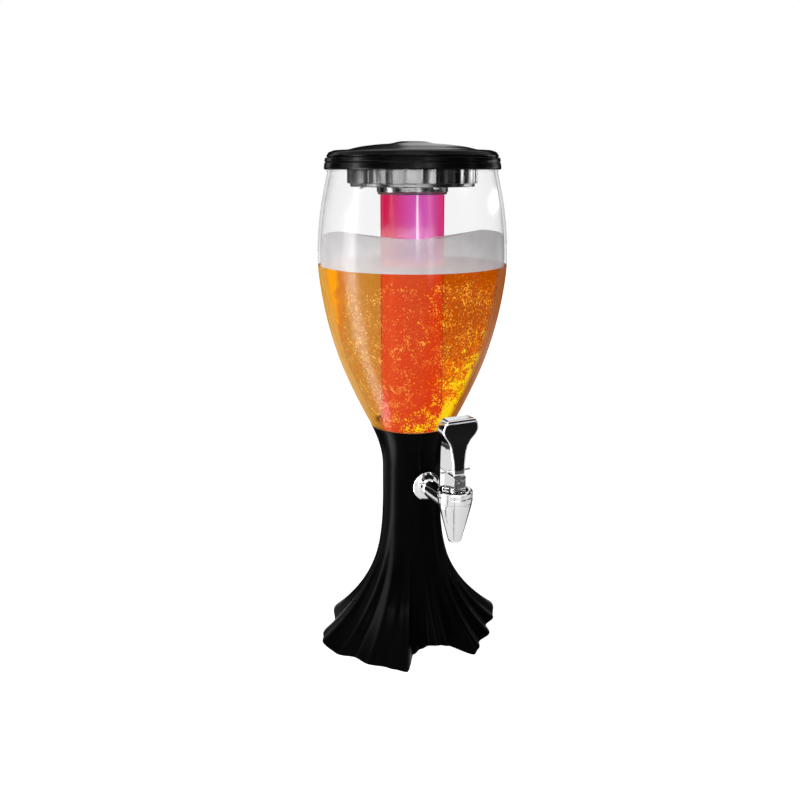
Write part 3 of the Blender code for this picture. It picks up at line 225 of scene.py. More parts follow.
SEAT_CUP_RADIUS = 0.0096
SEAT_CUP_FOOT = SEAT_CUP_RADIUS * 0.68
SEAT_CUP_EDGE = 0.0005
SEAT_CUP_SWELL = 0.004

# Lever
PIN_HEIGHT = 0.1965
PIN_RADIUS = 0.001
PIN_LENGTH = 0.03
HEAD_WIDTH = 0.006
HEAD_BOTTOM = 0.1894
HEAD_TOP = 0.2005
ROD_TOP = HEAD_BOTTOM + 0.002
SLOT_RADIUS = 0.0057
LEVER_DROP = 0.0025
LEVER_HEIGHT = 0.0535
LEVER_WIDTH = 0.036
LEVER_DEPTH = 0.027
LEVER_CORNER = 0.0014
# Share of the height, half widths in front and behind, reaches in front of and behind the pin
LEVER_SHARES = (
    (0.0, 0.155, 0.19, 0.285, 0.70),
    (0.16, 0.172, 0.20, 0.28, 0.67),
    (0.33, 0.20, 0.222, 0.265, 0.60),
    (0.48, 0.24, 0.25, 0.26, 0.50),
    (0.59, 0.31, 0.30, 0.285, 0.38),
    (0.70, 0.43, 0.41, 0.33, 0.26),
    (0.80, 0.50, 0.475, 0.365, 0.18),
    (0.90, 0.475, 0.45, 0.39, 0.12),
    (0.97, 0.42, 0.40, 0.395, 0.09),
    (1.0, 0.385, 0.365, 0.38, 0.08),
)
INSERT_BORDER = 0.0016
INSERT_THICKNESS = 0.0013
INSERT_PROUD = 0.0002
INSERT_BOTTOM = 0.0025
INSERT_TOP = 0.0475
INSERT_CORNER = 0.0022
INSERT_CROWN = 0.00025

# Light unit
HOUSING_RADIUS = 0.019
HOUSING_BORE = 0.0173
BATTERY_BORE = 0.0159
HOUSING_TOP = 0.116
HOUSING_BOTTOM = 0.058
FLANGE_RADIUS = 0.0256
FLANGE_BOTTOM = 0.1135
HOUSING_SCREW_CIRCLE = 0.0223
HOUSING_SCREW_RADIUS = 0.0011
HOUSING_SCREW_HEAD = 0.0022
LENS_BOTTOM = 0.1163
LENS_FLANGE_RADIUS = 0.0202
LENS_FLANGE_THICKNESS = 0.0014
LENS_RISE = 0.0024
LENS_EDGE = 0.002
BOARD_TOP = 0.1094
BOARD_BOTTOM = 0.1078
LED_RADIUS = 0.0025
LED_HEIGHT = 0.005
LED_CIRCLE = 0.009
BATTERY_RADIUS = 0.00525
BATTERY_CIRCLE = 0.006235
BATTERY_BOTTOM = 0.0618
BATTERY_LENGTH = 0.0435
BATTERY_NUB_RADIUS = 0.0019
BATTERY_NUB_HEIGHT = 0.001
CONTACT_RADIUS = 0.0135
CONTACT_THICKNESS = 0.0005
UPPER_CONTACT_HOLE = 0.0038
LOWER_CONTACT_HOLE = 0.0076
UPPER_CONTACT_BOTTOM = 0.1066
LOWER_CONTACT_BOTTOM = 0.061
COVER_TOP = 0.0606
COVER_BOTTOM = 0.0541
BUTTON_SHELF = 0.0593
BUTTON_RADIUS = 0.005
BUTTON_FLANGE = 0.0012
BUTTON_FLANGE_THICKNESS = 0.001
BUTTON_PROUD = 0.0025
COIN_SLOT_DEPTH = 0.0012
COIN_SLOT_WIDTH = 0.002

# Contents
DRINK_INSET = 0.0002
FOAM_MIDDLE_SHARE = 0.66
FOAM_SHARES = (
    (-206, 0.47), (-160, 0.5), (-116, 0.645), (-90, 0.87), (-72, 0.945), (-50, 0.86), (-26, 0.82),
    (-6, 0.84), (10, 0.95), (19, 1.0), (40, 0.9), (64, 0.7), (105, 0.52), (154, 0.47),
)

# Floor, camera and lamps. Lamps: name, place, width, height and the power that each follows
FLOOR_SIZE = 8
FLOOR_HEIGHT = -0.0001
CAMERA_PLACE = (-0.361, -0.733, 0.4635)
CAMERA_TILT = 78
CAMERA_TURN = -25.17
CAMERA_SHIFT = -0.0588
LAMP_AIM = (0, 0, 0.25)
LAMPS = (
    ("key_light", (-1.05, 0.2, 0.45), 0.16, 0.9, "key_power"),
    ("fill_light", (-0.11, -1.24, 0.5), 0.08, 0.9, "fill_power"),
    ("top_light", (-0.3, -0.6, 1.4), 0.6, 0.6, "fill_power"),
)

# Cards that only mirrors see, all placed as seen by an eye that stands at this turn round the tower
VIEW_TURN = -26.0
TOWARDS_EYE = (-0.486, -0.874)
RIGHT_OF_TAP = (0.874, -0.486)
TAP_CARD_HEIGHT = 0.002
# On the floor round the tap: name, how far towards the eye and to the right, turn, width, depth and light
TAP_CARDS = (
    ("behind_tap", -0.36, 0.0, 0, 0.66, 0.4, 0.04),
    ("left_streak", 0.16, -0.26, 57, 0.36, 0.04, 0.3),
    ("middle_streak", 0.3, -0.02, 88, 0.4, 0.03, 0.45),
    ("right_streak", 0.04, 0.3, -80, 0.3, 0.03, 0.3),
    ("turret_shade", 0.351, 0.449, 52, 0.34, 0.2, 0.09),
)
# Round the tower: name, angle from the eye, distance, height, width, tallness, light and tilt
ROUND_CARDS = (
    ("near_strip", -78.0, 0.34, 0.003, 0.1, 0.34, 17.0, 0),
    ("far_strip", -78.0, 0.755, 0.003, 0.24, 0.5, 17.0, 0),
    ("lid_reflector", -6.0, 0.6, 0.465, 0.75, 0.044, 22.0, 90),
    ("left_strip", -78.0, 1.0, 0.31, 0.34, 0.62, 14.0, 90),
    ("ring_side", 112.0, 0.3, 0.463, 0.14, 0.03, 12.0, 90),
    ("ring_shade", -90.0, 0.16, 0.462, 0.16, 0.03, 0.01, 90),
    ("centre_strip", 6.8, 1.2, 0.6, 0.035, 0.34, 60.0, 90),
)
# Far and tall ones that stay dark, all at one distance: name, angle from the eye and width
DARK_REACH = 1.2
DARK_HEIGHT = 0.5
DARK_TALLNESS = 1.4
DARK_LIGHT = 0.01
DARK_CARDS = (
    ("card_left_front", -42.0, 0.6),
    ("card_right_front", 55.0, 0.9),
    ("card_right", 105.0, 0.9),
    ("card_left", -115.0, 0.6),
    ("card_back_left", -160.0, 0.8),
    ("card_back_right", 155.0, 0.8),
)

# The way to the right as the tower is usually seen, from in front and a little to the tap's left
RIGHT = (0.899, -0.438, 0)
UPWARDS = (0, 0, 1)


def length_property(name, description, default):
    return bpy.props.FloatProperty(name=name, description=description, default=default, unit="LENGTH", precision=4)


def colour_property(name, description, red, green, blue):
    return bpy.props.FloatVectorProperty(
        name=name, description=description, default=(red, green, blue), size=3, min=0, max=1, subtype="COLOR",
    )


class TowerSizes(bpy.types.PropertyGroup):
    waist_radius: length_property("Waist radius", "Radius of the base where it is narrowest", 0.029)
    hem_radius: length_property("Hem radius", "Reach of the longest fold of the skirt", 0.0984)
    rim_radius: length_property("Cup radius", "Radius of the base's upper rim, round the vessel", 0.0409)
    bowl_radius: length_property("Bowl radius", "Radius of the clear bowl at its widest", 0.0901)
    lid_radius: length_property("Lid radius", "Radius of the lid's skirt", 0.0829)
    tube_radius: length_property("Tube radius", "Outer radius of the ice tube", 0.0303)
    drink_line: length_property("Drink line", "Height of the drink's surface above the table", 0.3755)
    foam_depth: length_property("Foam depth", "Depth of the foam at its highest crest", 0.0366)


class TowerColours(bpy.types.PropertyGroup):
    black: colour_property("Black plastic", "Gloss black of base, lid and holder", 0.0012, 0.0012, 0.0014)
    chrome: colour_property("Chrome", "Plating of the tap", 0.82, 0.825, 0.835)
    steel: colour_property("Steel", "Screws, nut, pin and contacts", 0.6, 0.6, 0.62)
    drink: colour_property("Drink", "Body of the drink", 0.5, 0.13, 0.002)
    # Colour of the painted glints on the bubbles in the drink
    bubble_glint: colour_property("Flecks", "Bubbles that catch the light in the drink", 0.9, 0.4, 0.03)
    foam: colour_property("Foam", "Head on the drink", 0.76, 0.76, 0.76)
    glow_middle: colour_property("Glow, middle", "Ice tube's light along its middle", 0.56, 0.07, 0.4)
    glow_side: colour_property("Glow, sides", "Ice tube's light near its sides", 0.55, 0.004, 0.05)
    wet_top: colour_property("Glow in the drink, top", "Ice tube's light just under the drink line", 0.85, 0.15, 0.22)
    wet_low: colour_property("Glow in the drink, low", "Ice tube's light low in the drink", 1.0, 0.075, 0.06)


class TowerStudio(bpy.types.PropertyGroup):
    lens: bpy.props.FloatProperty(
        name="Lens", description="Focal length of the camera", default=38.7, unit="CAMERA",
    )
    key_power: bpy.props.FloatProperty(
        name="Key light", description="Power of the tall soft light at the left", default=6.0, unit="POWER",
    )
    fill_power: bpy.props.FloatProperty(
        name="Fill light", description="Power of the soft lights at the right and above", default=3.0, unit="POWER",
    )


# Shader maths

def feed(tree, socket, value):
    """Links a field or a socket, or sets a plain value."""
    if isinstance(value, Field):
        value = value.socket
    if isinstance(value, bpy.types.NodeSocket):
        tree.links.new(value, socket)
    elif isinstance(value, (tuple, list)) and len(socket.default_value) == 4 and len(value) == 3:
        socket.default_value = (*value, 1.0)
    else:
        socket.default_value = value


class Field:
    """A value of a shader that plain Python sums and products can use."""

    def __init__(self, tree, socket):
        self.tree = tree
        self.socket = socket

    def maths(self, operation, *values, clamp=False):
        node = self.tree.nodes.new("ShaderNodeMath")
        node.operation = operation
        node.use_clamp = clamp
        for socket, value in zip(node.inputs, values):
            feed(self.tree, socket, value)
        return Field(self.tree, node.outputs[0])

    def __add__(self, other):
        return self.maths("ADD", self, other)

    def __radd__(self, other):
        return self.maths("ADD", other, self)

    def __sub__(self, other):
        return self.maths("SUBTRACT", self, other)

    def __rsub__(self, other):
        return self.maths("SUBTRACT", other, self)

    def __mul__(self, other):
        return self.maths("MULTIPLY", self, other)

    def __rmul__(self, other):
        return self.maths("MULTIPLY", other, self)

    def __truediv__(self, other):
        return self.maths("DIVIDE", self, other)

    def __pow__(self, other):
        return self.maths("POWER", self, other)

    def __abs__(self):
        return self.maths("ABSOLUTE", self)

    def above(self, edge, width):
        """0 below the edge, 1 above it, rising over a width."""
        return self.maths("MULTIPLY", self - (edge - width / 2), 1 / width, clamp=True)

    def below(self, edge, width):
        return 1 - self.above(edge, width)

    def most(self, other):
        return self.maths("MAXIMUM", self, other)


class Finish:
    """The nodes of a material, or of the world, while they are being made."""

    def __init__(self, owner, output="OutputMaterial"):
        owner.use_nodes = True
        self.tree = owner.node_tree
        self.tree.nodes.clear()
        self.output = self.node(output)

    def node(self, kind, values=None, **settings):
        """Adds a node, sets it up, then sets or links its sockets."""
        node = self.tree.nodes.new("ShaderNode" + kind)
        for key, value in settings.items():
            setattr(node, key, value)
        for key, value in (values or {}).items():
            feed(self.tree, node.inputs[key], value)
        return node

    def field(self, node, output=0):
        return Field(self.tree, node.outputs[output])

    def place(self, scale=(1, 1, 1), centre=(0, 0, 0)):
        """Object coordinates in metres, moved to a centre and stretched."""
        point = self.node("TexCoord").outputs["Object"]
        moved = self.node("VectorMath", {0: point, 1: centre}, operation="SUBTRACT")
        return self.node("VectorMath", {0: moved.outputs[0], 1: scale}, operation="MULTIPLY").outputs[0]

    def reach(self, direction, centre=(0, 0, 0)):
        """How far a point lies along a direction, in metres from a centre."""
        along = self.node("VectorMath", {0: self.place(centre=centre), 1: direction}, operation="DOT_PRODUCT")
        return self.field(along, "Value")

    def noise(self, size, detail=2.0, rough=0.5, stretch=(1, 1, 1), distortion=0.0):
        """Noise whose blobs are about size metres across."""
        scale = tuple(1 / (size * factor) for factor in stretch)
        return self.field(self.node("TexNoise", {
            "Vector": self.place(scale), "Scale": 1.0, "Detail": detail, "Roughness": rough,
            "Distortion": distortion,
        }))

    def cells(self, size):
        """Distance from the middle of cells that are about size metres across."""
        cells = self.node("TexVoronoi", {"Vector": self.place((1 / size,) * 3), "Scale": 1.0}, feature="F1")
        return self.field(cells, "Distance")

    def blend(self, factor, first, second):
        """A colour between two."""
        return self.node("Mix", {0: factor, 6: first, 7: second}, data_type="RGBA").outputs[2]

    def bump(self, height, distance):
        return self.node("Bump", {"Strength": 1.0, "Distance": distance, "Height": height}).outputs[0]

    def principled(self, **values):
        return self.node("BsdfPrincipled", {key.replace("_", " "): value for key, value in values.items()})

    def clear(self, red, green, blue):
        return self.node("BsdfTransparent", {"Color": (red, green, blue)})

    def light(self, strength):
        return self.node("Emission", {"Color": (1, 1, 1), "Strength": strength})

    def mix(self, factor, first, second):
        return self.node("MixShader", {0: factor, 1: first.outputs[0], 2: second.outputs[0]})

    def done(self, shader):
        feed(self.tree, self.output.inputs["Surface"], shader.outputs[0])


def make_material(name, maker, *values):
    """A material with the surface that maker builds."""
    material = bpy.data.materials.new(name)
    finish = Finish(material)
    finish.done(maker(finish, *values))
    return material


def colour_of(key, share=1.0):
    """One of the tower's colours, made darker or lighter by a share."""
    return tuple(share * value for value in getattr(bpy.context.scene.tower_colours, key))


# Finishes

def gloss_black(finish, roughness, level, ripple):
    """Moulded black plastic: a faint orange peel, a little dust and handling in the gloss."""
    cloud = finish.noise(0.03, 3.0)
    fine = finish.noise(0.0016)
    return finish.principled(
        Base_Color=finish.blend(cloud.above(0.5, 0.5), colour_of("black"), colour_of("black", 1.7)),
        Roughness=roughness + 0.07 * cloud + 0.03 * fine,
        Specular_IOR_Level=level,
        Normal=finish.bump(fine + ripple * cloud, 0.00003),
    )


def chrome(finish):
    """Plated and polished, with the small waves of a moulded body under the plating."""
    wave = finish.noise(0.009)
    fine = finish.noise(0.002, 3.0)
    return finish.principled(
        Base_Color=colour_of("chrome"), Metallic=1.0, Roughness=0.045 + 0.05 * fine, Normal=finish.bump(wave, 0.0002),
    )


def steel(finish):
    """Drawn or turned steel with a fine grain."""
    fine = finish.noise(0.0012, 4.0)
    return finish.principled(
        Base_Color=finish.blend(fine, colour_of("steel"), colour_of("steel", 0.75)),
        Metallic=1.0,
        Roughness=0.22 + 0.15 * fine,
        Normal=finish.bump(fine, 0.00004),
    )


def soft_finish(finish, shade, roughness):
    """Rubber or silicone: dull, with a powdery grain."""
    grain = finish.noise(0.0008, 4.0)
    patch = finish.noise(0.006)
    return finish.principled(
        Base_Color=finish.blend(patch, shade, tuple(0.8 * value for value in shade)),
        Roughness=roughness + 0.12 * grain,
        Normal=finish.bump(grain, 0.00006),
    )


def insert_black(finish):
    """Satin black plate, dustier in patches."""
    grain = finish.noise(0.0006, 3.0)
    patch = finish.noise(0.012)
    return finish.principled(
        Base_Color=finish.blend(patch, (0.004, 0.004, 0.005), (0.009, 0.009, 0.01)),
        Roughness=0.3 + 0.14 * grain,
        Specular_IOR_Level=0.06,
        Normal=finish.bump(grain, 0.00003),
    )


def clear_wall(finish, filled):
    """Thin clear plastic: seen through where it faces the eye, shinier and greyer towards its rims, where the grey is
    painted shade with a faint painted glow.

    If filled, the rims are painted in the drink's colour below its line, a painted image of what a real wall shows by
    bending light.
    """
    facing = finish.field(finish.node("LayerWeight", {"Blend": 0.5}), 1)
    scratch = finish.noise(0.02, 3.0, stretch=(0.4, 0.4, 3.0))
    grey = finish.blend(scratch, (0.5, 0.5, 0.51), (0.6, 0.6, 0.61))
    wet = 0.0
    if filled:
        height = finish.reach(UPWARDS)
        wet = height.below(bpy.context.scene.tower_sizes.drink_line, 0.001)
        wet = wet * height.above(BOWL_BOTTOM - 0.004, 0.002)
        side = finish.reach(RIGHT, FOOT).above(0.0, 0.08)
        # Painted refraction: below the drink line the rims take the drink's colour, more golden on the left.
        grey = finish.blend(wet, grey, finish.blend(side, (0.6, 0.28, 0.02), (0.5, 0.13, 0.006)))
    # The rims' grey is painted shade, and their emission is a faint painted glow.
    rim = finish.principled(
        Base_Color=grey, Roughness=0.35, Specular_IOR_Level=0.1, Emission_Color=grey, Emission_Strength=0.15,
    )
    gloss = finish.principled(Base_Color=(0.9, 0.9, 0.9), Metallic=1.0, Roughness=0.14 + 0.06 * scratch)
    rim_share = 0.35 * facing ** 6.0 + 0.9 * wet * facing.above(0.68, 0.2)
    body = finish.mix(rim_share, finish.clear(0.979, 0.979, 0.982), rim)
    return finish.mix(0.006 + (0.3 - 0.26 * wet) * facing ** 5.0, body, gloss)


def drink_body(finish):
    """Lit beer, its light painted: an amber glow to look through, painted glints on swarms of bubbles that are
    thickest low on the right, a painted bright yellow glow low on the right, and painted lighter, more golden colour
    on the left.
    """
    right = finish.reach(RIGHT, FOOT)
    up = finish.reach(UPWARDS, (0, 0, 0.3))
    swarm = finish.noise(0.012, 3.0, 0.6, distortion=0.6)
    spark = finish.noise(0.0015, 1.0, 0.6)
    fizz = finish.noise(0.0008, 0.0)
    still = (-1.0 * right + 0.02 * (swarm - 0.5) + 0.006 * (spark - 0.5)).above(0.067, 0.008)
    still = still * (up + 0.08 * (swarm - 0.5)).above(-0.01, 0.03)
    crowd = 1.2 * (swarm - 0.5) + 0.6 * right - 0.25 * up.above(0.066, 0.012) - 0.6 * still
    middle = abs(right).below(0.026, 0.012)
    # Painted glints: bright bubbles that sparkle in the drink's painted glow.
    bubble_glint = (0.65 * spark + 0.35 * fizz + 0.42 * crowd).above(0.61 + 0.03 * middle, 0.02)
    # Painted bright yellow glow low on the right.
    low = (0.9 * right - up + 0.16 * (spark - 0.5) + 0.14 * (swarm - 0.5) - 0.02 * middle).above(0.07, 0.008)
    # Painted lighter, more golden colour towards the left, the side of the key light.
    side = right.above(-0.01, 0.06)
    warm = finish.blend(side, (0.75, 0.42, 0.1), colour_of("bubble_glint"))
    warm = finish.blend(low, warm, (1.0, 0.72, 0.005))
    deep = finish.blend(side, (0.45, 0.22, 0.03), colour_of("drink"))
    deep = finish.blend(still, deep, (0.85, 0.36, 0.003))
    lit = finish.blend(bubble_glint.most(low), deep, warm)
    # The drink's emission is a painted glow in place of the light that fills it.
    body = finish.principled(
        Base_Color=lit, Roughness=0.5, Emission_Color=lit, Emission_Strength=0.52, Specular_IOR_Level=0.0,
    )
    through = finish.mix(side, finish.clear(0.78, 0.5, 0.17), finish.clear(0.68, 0.27, 0.03))
    return finish.mix((0.16 + 0.8 * bubble_glint).most(0.95 * low).most(0.6 * still), through, body)


def foam_head(finish):
    """Fine foam, a little see-through, with a faint painted glow and painted shade: greyer towards its crest and to
    the right.
    """
    cloud = finish.noise(0.02, 3.0)
    height = finish.reach(UPWARDS, (0, 0, bpy.context.scene.tower_sizes.drink_line))
    right = finish.reach(RIGHT, FOOT)
    # Painted shade: darker towards the crest and to the right, with random patches.
    shade = height.above(0.017, 0.03) * 0.8 + 4.0 * right.most(0.0) + 1.2 * (cloud - 0.5)
    tone = finish.blend(shade, colour_of("foam"), colour_of("foam", 0.64))
    # The foam's emission is a faint painted glow.
    body = finish.principled(
        Base_Color=tone, Roughness=0.8, Specular_IOR_Level=0.1, Emission_Color=tone, Emission_Strength=0.19,
        Normal=finish.bump(finish.cells(0.0016), 0.0002),
    )
    return finish.mix(0.62 + 0.1 * cloud, finish.clear(0.9, 0.9, 0.9), body)


def tube_glow(finish):
    """The tube's glow is painted in place of the light of the coloured diodes that it carries: pink above the drink,
    hot red under it, with a painted highlight above the drink and painted darker sides.
    """
    sizes = bpy.context.scene.tower_sizes
    across = finish.reach(RIGHT, FOOT) / sizes.tube_radius
    height = finish.reach(UPWARDS)
    cloud = finish.noise(0.025, stretch=(1, 1, 2))
    # Painted shade: the glow is darker towards the tube's sides.
    side = abs(across - 0.1) ** 1.3 + 0.25 * (cloud - 0.5)
    dry_side_shade = 1.25 * abs(across - 0.2) ** 1.5 + 0.25 * (cloud - 0.5)
    dry = finish.blend(dry_side_shade, colour_of("glow_middle"), colour_of("glow_side"))
    # Painted highlight: a pale line down the tube above the drink.
    painted_highlight = abs(across - 0.15).below(0.03, 0.03) * height.above(sizes.drink_line + 0.012, 0.02)
    dry = finish.blend(0.65 * painted_highlight, dry, (1.0, 0.8, 0.95))
    wet = finish.blend(side + height.below(0.33, 0.2), colour_of("wet_top"), colour_of("wet_low"))
    # Painted shade: dark red along the tube's edges under the drink.
    wet = finish.blend(abs(across).above(0.94, 0.05), wet, (0.6, 0.03, 0.035))
    return finish.principled(
        Base_Color=(0.12, 0.01, 0.04),
        Roughness=0.06,
        Specular_IOR_Level=0.03,
        Emission_Color=finish.blend(height.below(sizes.drink_line + 0.004, 0.008), dry, wet),
        Emission_Strength=1.0,
        Normal=finish.bump(cloud, 0.0001),
    )


def board_green(finish):
    """Solder mask with a faint net of copper tracks under it."""
    tracks = finish.node("TexBrick", {
        "Vector": finish.place((260, 260, 260)), "Scale": 1.0, "Mortar Size": 0.06,
        "Color1": (0.02, 0.12, 0.05), "Color2": (0.025, 0.15, 0.06), "Mortar": (0.06, 0.3, 0.12),
    })
    grain = finish.noise(0.001, 3.0)
    return finish.principled(
        Base_Color=tracks.outputs[0], Roughness=0.3 + 0.2 * grain, Normal=finish.bump(tracks.outputs[1], 0.00005),
    )


def diode_glow(finish):
    """A clear body, hottest near the board."""
    core = finish.reach(UPWARDS).below(BOARD_TOP + LED_HEIGHT / 2, LED_HEIGHT)
    return finish.principled(
        Base_Color=finish.blend(core, (0.9, 0.5, 0.7), (0.8, 0.2, 0.35)),
        Roughness=0.08 + 0.05 * finish.noise(0.0015),
        Emission_Color=finish.blend(core, (1.0, 0.35, 0.75), (1.0, 0.1, 0.3)),
        Emission_Strength=1.5,
    )


def battery_sleeve(finish):
    """A printed sleeve in two plain colours, with bare metal at both ends."""
    height = finish.reach(UPWARDS, (0, 0, BATTERY_BOTTOM))
    ends = height.below(0.0012, 0.0002).most(height.above(0.0425, 0.0002))
    sleeve = finish.blend(height.above(0.031, 0.0003), (0.03, 0.05, 0.16), (0.5, 0.32, 0.12))
    grain = finish.noise(0.001)
    return finish.principled(
        Base_Color=finish.blend(ends, sleeve, (0.6, 0.6, 0.6)),
        Metallic=ends,
        Roughness=0.22 + 0.1 * grain,
        Normal=finish.bump(grain, 0.00003),
    )


# Each finish: its slot in the frame, what makes it, and with which values
FINISHES = {
    "base_black": ("black_gloss_plastic", gloss_black, 0.16, 0.014, 1.5),
    "lid_black": ("black_gloss_plastic", gloss_black, 0.16, 0.07, 0.6),
    "holder_black": ("black_gloss_plastic", gloss_black, 0.2, 0.8, 0.4),
    "cap_black": ("black_gloss_plastic", gloss_black, 0.12, 1.0, 0.4),
    "tap_chrome": ("chrome_plating", chrome),
    "screw_steel": ("plated_steel", steel),
    "soft_rubber": ("black_rubber", soft_finish, (0.012, 0.012, 0.012), 0.6),
    "seal_silicone": ("white_silicone", soft_finish, (0.72, 0.72, 0.7), 0.4),
    "lever_black": ("satin_black_plastic", insert_black),
    "bowl_clear": ("clear_plastic", clear_wall, True),
    "lens_clear": ("clear_plastic", clear_wall, False),
    "lit_beer": ("clear_plastic", drink_body),
    "beer_foam": ("white_silicone", foam_head),
    "tube_light": ("clear_plastic", tube_glow),
    "board_green": ("green_board", board_green),
    "diode_light": ("light_emitting_diode", diode_glow),
    "cell_sleeve": ("battery_sleeve", battery_sleeve),
}


# Shape helpers

# Axes that pieces are turned about: a place, the way out from it and the way along it
X, Y, Z = Vector((1, 0, 0)), Vector((0, 1, 0)), Vector((0, 0, 1))
TOWER_AXIS = (FOOT, X, Z)
ARM_AXIS = ((0, AXIS_Y, TAP_HEIGHT), X, -Y)
SPOUT_AXIS = ((0, TAP_Y, 0), X, Z)
PIN_AXIS = ((0, TAP_Y, PIN_HEIGHT), Z, X)


def axis_at(place):
    return (place, X, Z)


def around(angle, radius, height=0.0):
    """The place at an angle from the tap, round the tower's axis."""
    return (radius * math.sin(math.radians(angle)), AXIS_Y - radius * math.cos(math.radians(angle)), height)


def numbered(count, radius, height=0.0, start=0.0):
    """Numbers and places that share out a circle round the tower's axis."""
    return [(i + 1, around(start + 360 * i / count, radius, height)) for i in range(count)]


def spread(start, end, steps):
    return [start + (end - start) * i / steps for i in range(steps + 1)]


def smooth_at(shares, place):
    """A smooth curve through (place, value) pairs, read at one place."""
    count = len(shares)
    index = 0
    while index < count - 2 and place > shares[index + 1][0]:
        index += 1

    def slope(i):
        low, high = max(i - 1, 0), min(i + 1, count - 1)
        return (shares[high][1] - shares[low][1]) / (shares[high][0] - shares[low][0])

    span = shares[index + 1][0] - shares[index][0]
    t = (place - shares[index][0]) / span
    start, end = shares[index][1], shares[index + 1][1]
    rise = (3 - 2 * t) * t * t
    bend_in = t * (1 - t) * (1 - t) * span * slope(index)
    bend_out = t * t * (1 - t) * span * slope(index + 1)
    return start + (end - start) * rise + bend_in - bend_out


def off_axis(outline):
    """Whether an outline of (radius, height) keeps clear of the axis, so that it is a closed loop."""
    return min(point[0] for point in outline) > 0


def rounded(points, radius, closed=None, steps=3):
    """Rounds the corners of an outline by a radius, or by the third number of a point."""
    if closed is None:
        closed = off_axis(points)
    result = []
    count = len(points)
    for i, point in enumerate(points):
        here = Vector(point[:2])
        before = Vector(points[i - 1][:2]) - here
        after = Vector(points[(i + 1) % count][:2]) - here
        want = point[2] if len(point) > 2 else radius
        is_end = not closed and i in (0, count - 1)
        too_short = before.length < 1e-7 or after.length < 1e-7
        if want == 0 or is_end or too_short or before.angle(after) > math.radians(NEARLY_STRAIGHT):
            result.append(tuple(here))
            continue
        room = 0.45 * min(before.length, after.length)
        cut_back = min(want / math.tan(before.angle(after) / 2), room)
        start = here + before.normalized() * cut_back
        end = here + after.normalized() * cut_back
        for t in spread(0.0, 1.0, steps):
            result.append(tuple(start * (1 - t) ** 2 + here * 2 * t * (1 - t) + end * t * t))
    return result


def pick(obj=None):
    """Leaves edit mode and selects one object, or none."""
    active = bpy.context.view_layer.objects.active
    if active is not None and active.mode != "OBJECT":
        bpy.ops.object.mode_set(mode="OBJECT")
    bpy.ops.object.select_all(action="DESELECT")
    if obj is not None:
        obj.select_set(True)
        bpy.context.view_layer.objects.active = obj


def start_edit(mode):
    bpy.ops.object.mode_set(mode="EDIT")
    bpy.ops.mesh.select_mode(type=mode)
    bpy.ops.mesh.select_all(action="SELECT")


def new_object(name):
    """Names the primitive that was just added."""
    obj = bpy.context.object
    obj.name = obj.data.name = name
    return obj


def seat_mesh(obj):
    """Moves the object's place into its mesh."""
    pick(obj)
    bpy.ops.object.transform_apply(location=True, rotation=True, scale=True)
    return obj


def close_mesh():
    """In edit mode: closes seams and poles and turns every face outwards."""
    bpy.ops.mesh.select_all(action="SELECT")
    bpy.ops.mesh.remove_doubles(threshold=0.000002)
    bpy.ops.mesh.normals_make_consistent(inside=False)
    bpy.ops.object.mode_set(mode="OBJECT")


def disc_outline(radius, bottom, top):
    return [(0, top), (radius, top), (radius, bottom), (0, bottom)]


def ring_outline(inner, outer, bottom, top):
    return [(outer, top), (outer, bottom), (inner, bottom), (inner, top)]


def revolve(name, outline, facets, axis=TOWER_AXIS, corner=0.0, corner_steps=3):
    """Draws an outline of (radius, height) by extruding one vertex, then spins it about the axis."""
    centre, across, along = axis
    if corner:
        outline = rounded(outline, corner, steps=corner_steps)
    points = [Vector(centre) + across * radius + along * height for radius, height in outline]
    if off_axis(outline):
        points.append(points[0])
    pick()
    bpy.ops.mesh.primitive_plane_add(size=0.01, location=points[0])
    obj = new_object(name)
    start_edit("VERT")
    bpy.ops.mesh.merge(type="CENTER")
    for before, after in zip(points, points[1:]):
        bpy.ops.mesh.extrude_vertices_move(TRANSFORM_OT_translate={"value": after - before})
    bpy.ops.mesh.select_all(action="SELECT")
    bpy.ops.mesh.spin(steps=facets, angle=math.tau, center=centre, axis=along)
    close_mesh()
    return seat_mesh(obj)


def disc(name, radius, bottom, top, facets, axis=TOWER_AXIS, corner=0.0):
    return revolve(name, disc_outline(radius, bottom, top), facets, axis, corner)


def loft(name, rows, closed=False):
    """Raises a circle row by row, then moves each row to its own outline. Ends are filled, or joined if closed."""
    count = len(rows[0])
    if closed:
        rows = [*rows, rows[0]]
    pick()
    bpy.ops.mesh.primitive_circle_add(vertices=count, radius=1.0, location=(0, 0, 0))
    obj = new_object(name)
    start_edit("EDGE")
    for _ in rows[1:]:
        bpy.ops.mesh.extrude_edges_move(TRANSFORM_OT_translate={"value": (0, 0, 1)})
    bpy.ops.object.mode_set(mode="OBJECT")
    for vertex in obj.data.vertices:
        angle = math.atan2(vertex.co.y, vertex.co.x) / math.tau
        vertex.co = rows[round(vertex.co.z)][round(angle * count) % count]
    start_edit("EDGE")
    if not closed:
        bpy.ops.mesh.select_all(action="DESELECT")
        bpy.ops.mesh.select_non_manifold()
        bpy.ops.mesh.edge_face_add()
    close_mesh()
    return seat_mesh(obj)


def block(name, low, high, round_off=0.0):
    """A cuboid between two corners, with its edges bevelled."""
    pick()
    middle = [(a + b) / 2 for a, b in zip(low, high)]
    bpy.ops.mesh.primitive_cube_add(size=1, location=middle, scale=[b - a for a, b in zip(low, high)])
    obj = seat_mesh(new_object(name))
    if round_off:
        start_edit("EDGE")
        bpy.ops.mesh.bevel(offset=round_off, segments=2, affect="EDGES")
        close_mesh()
    return obj


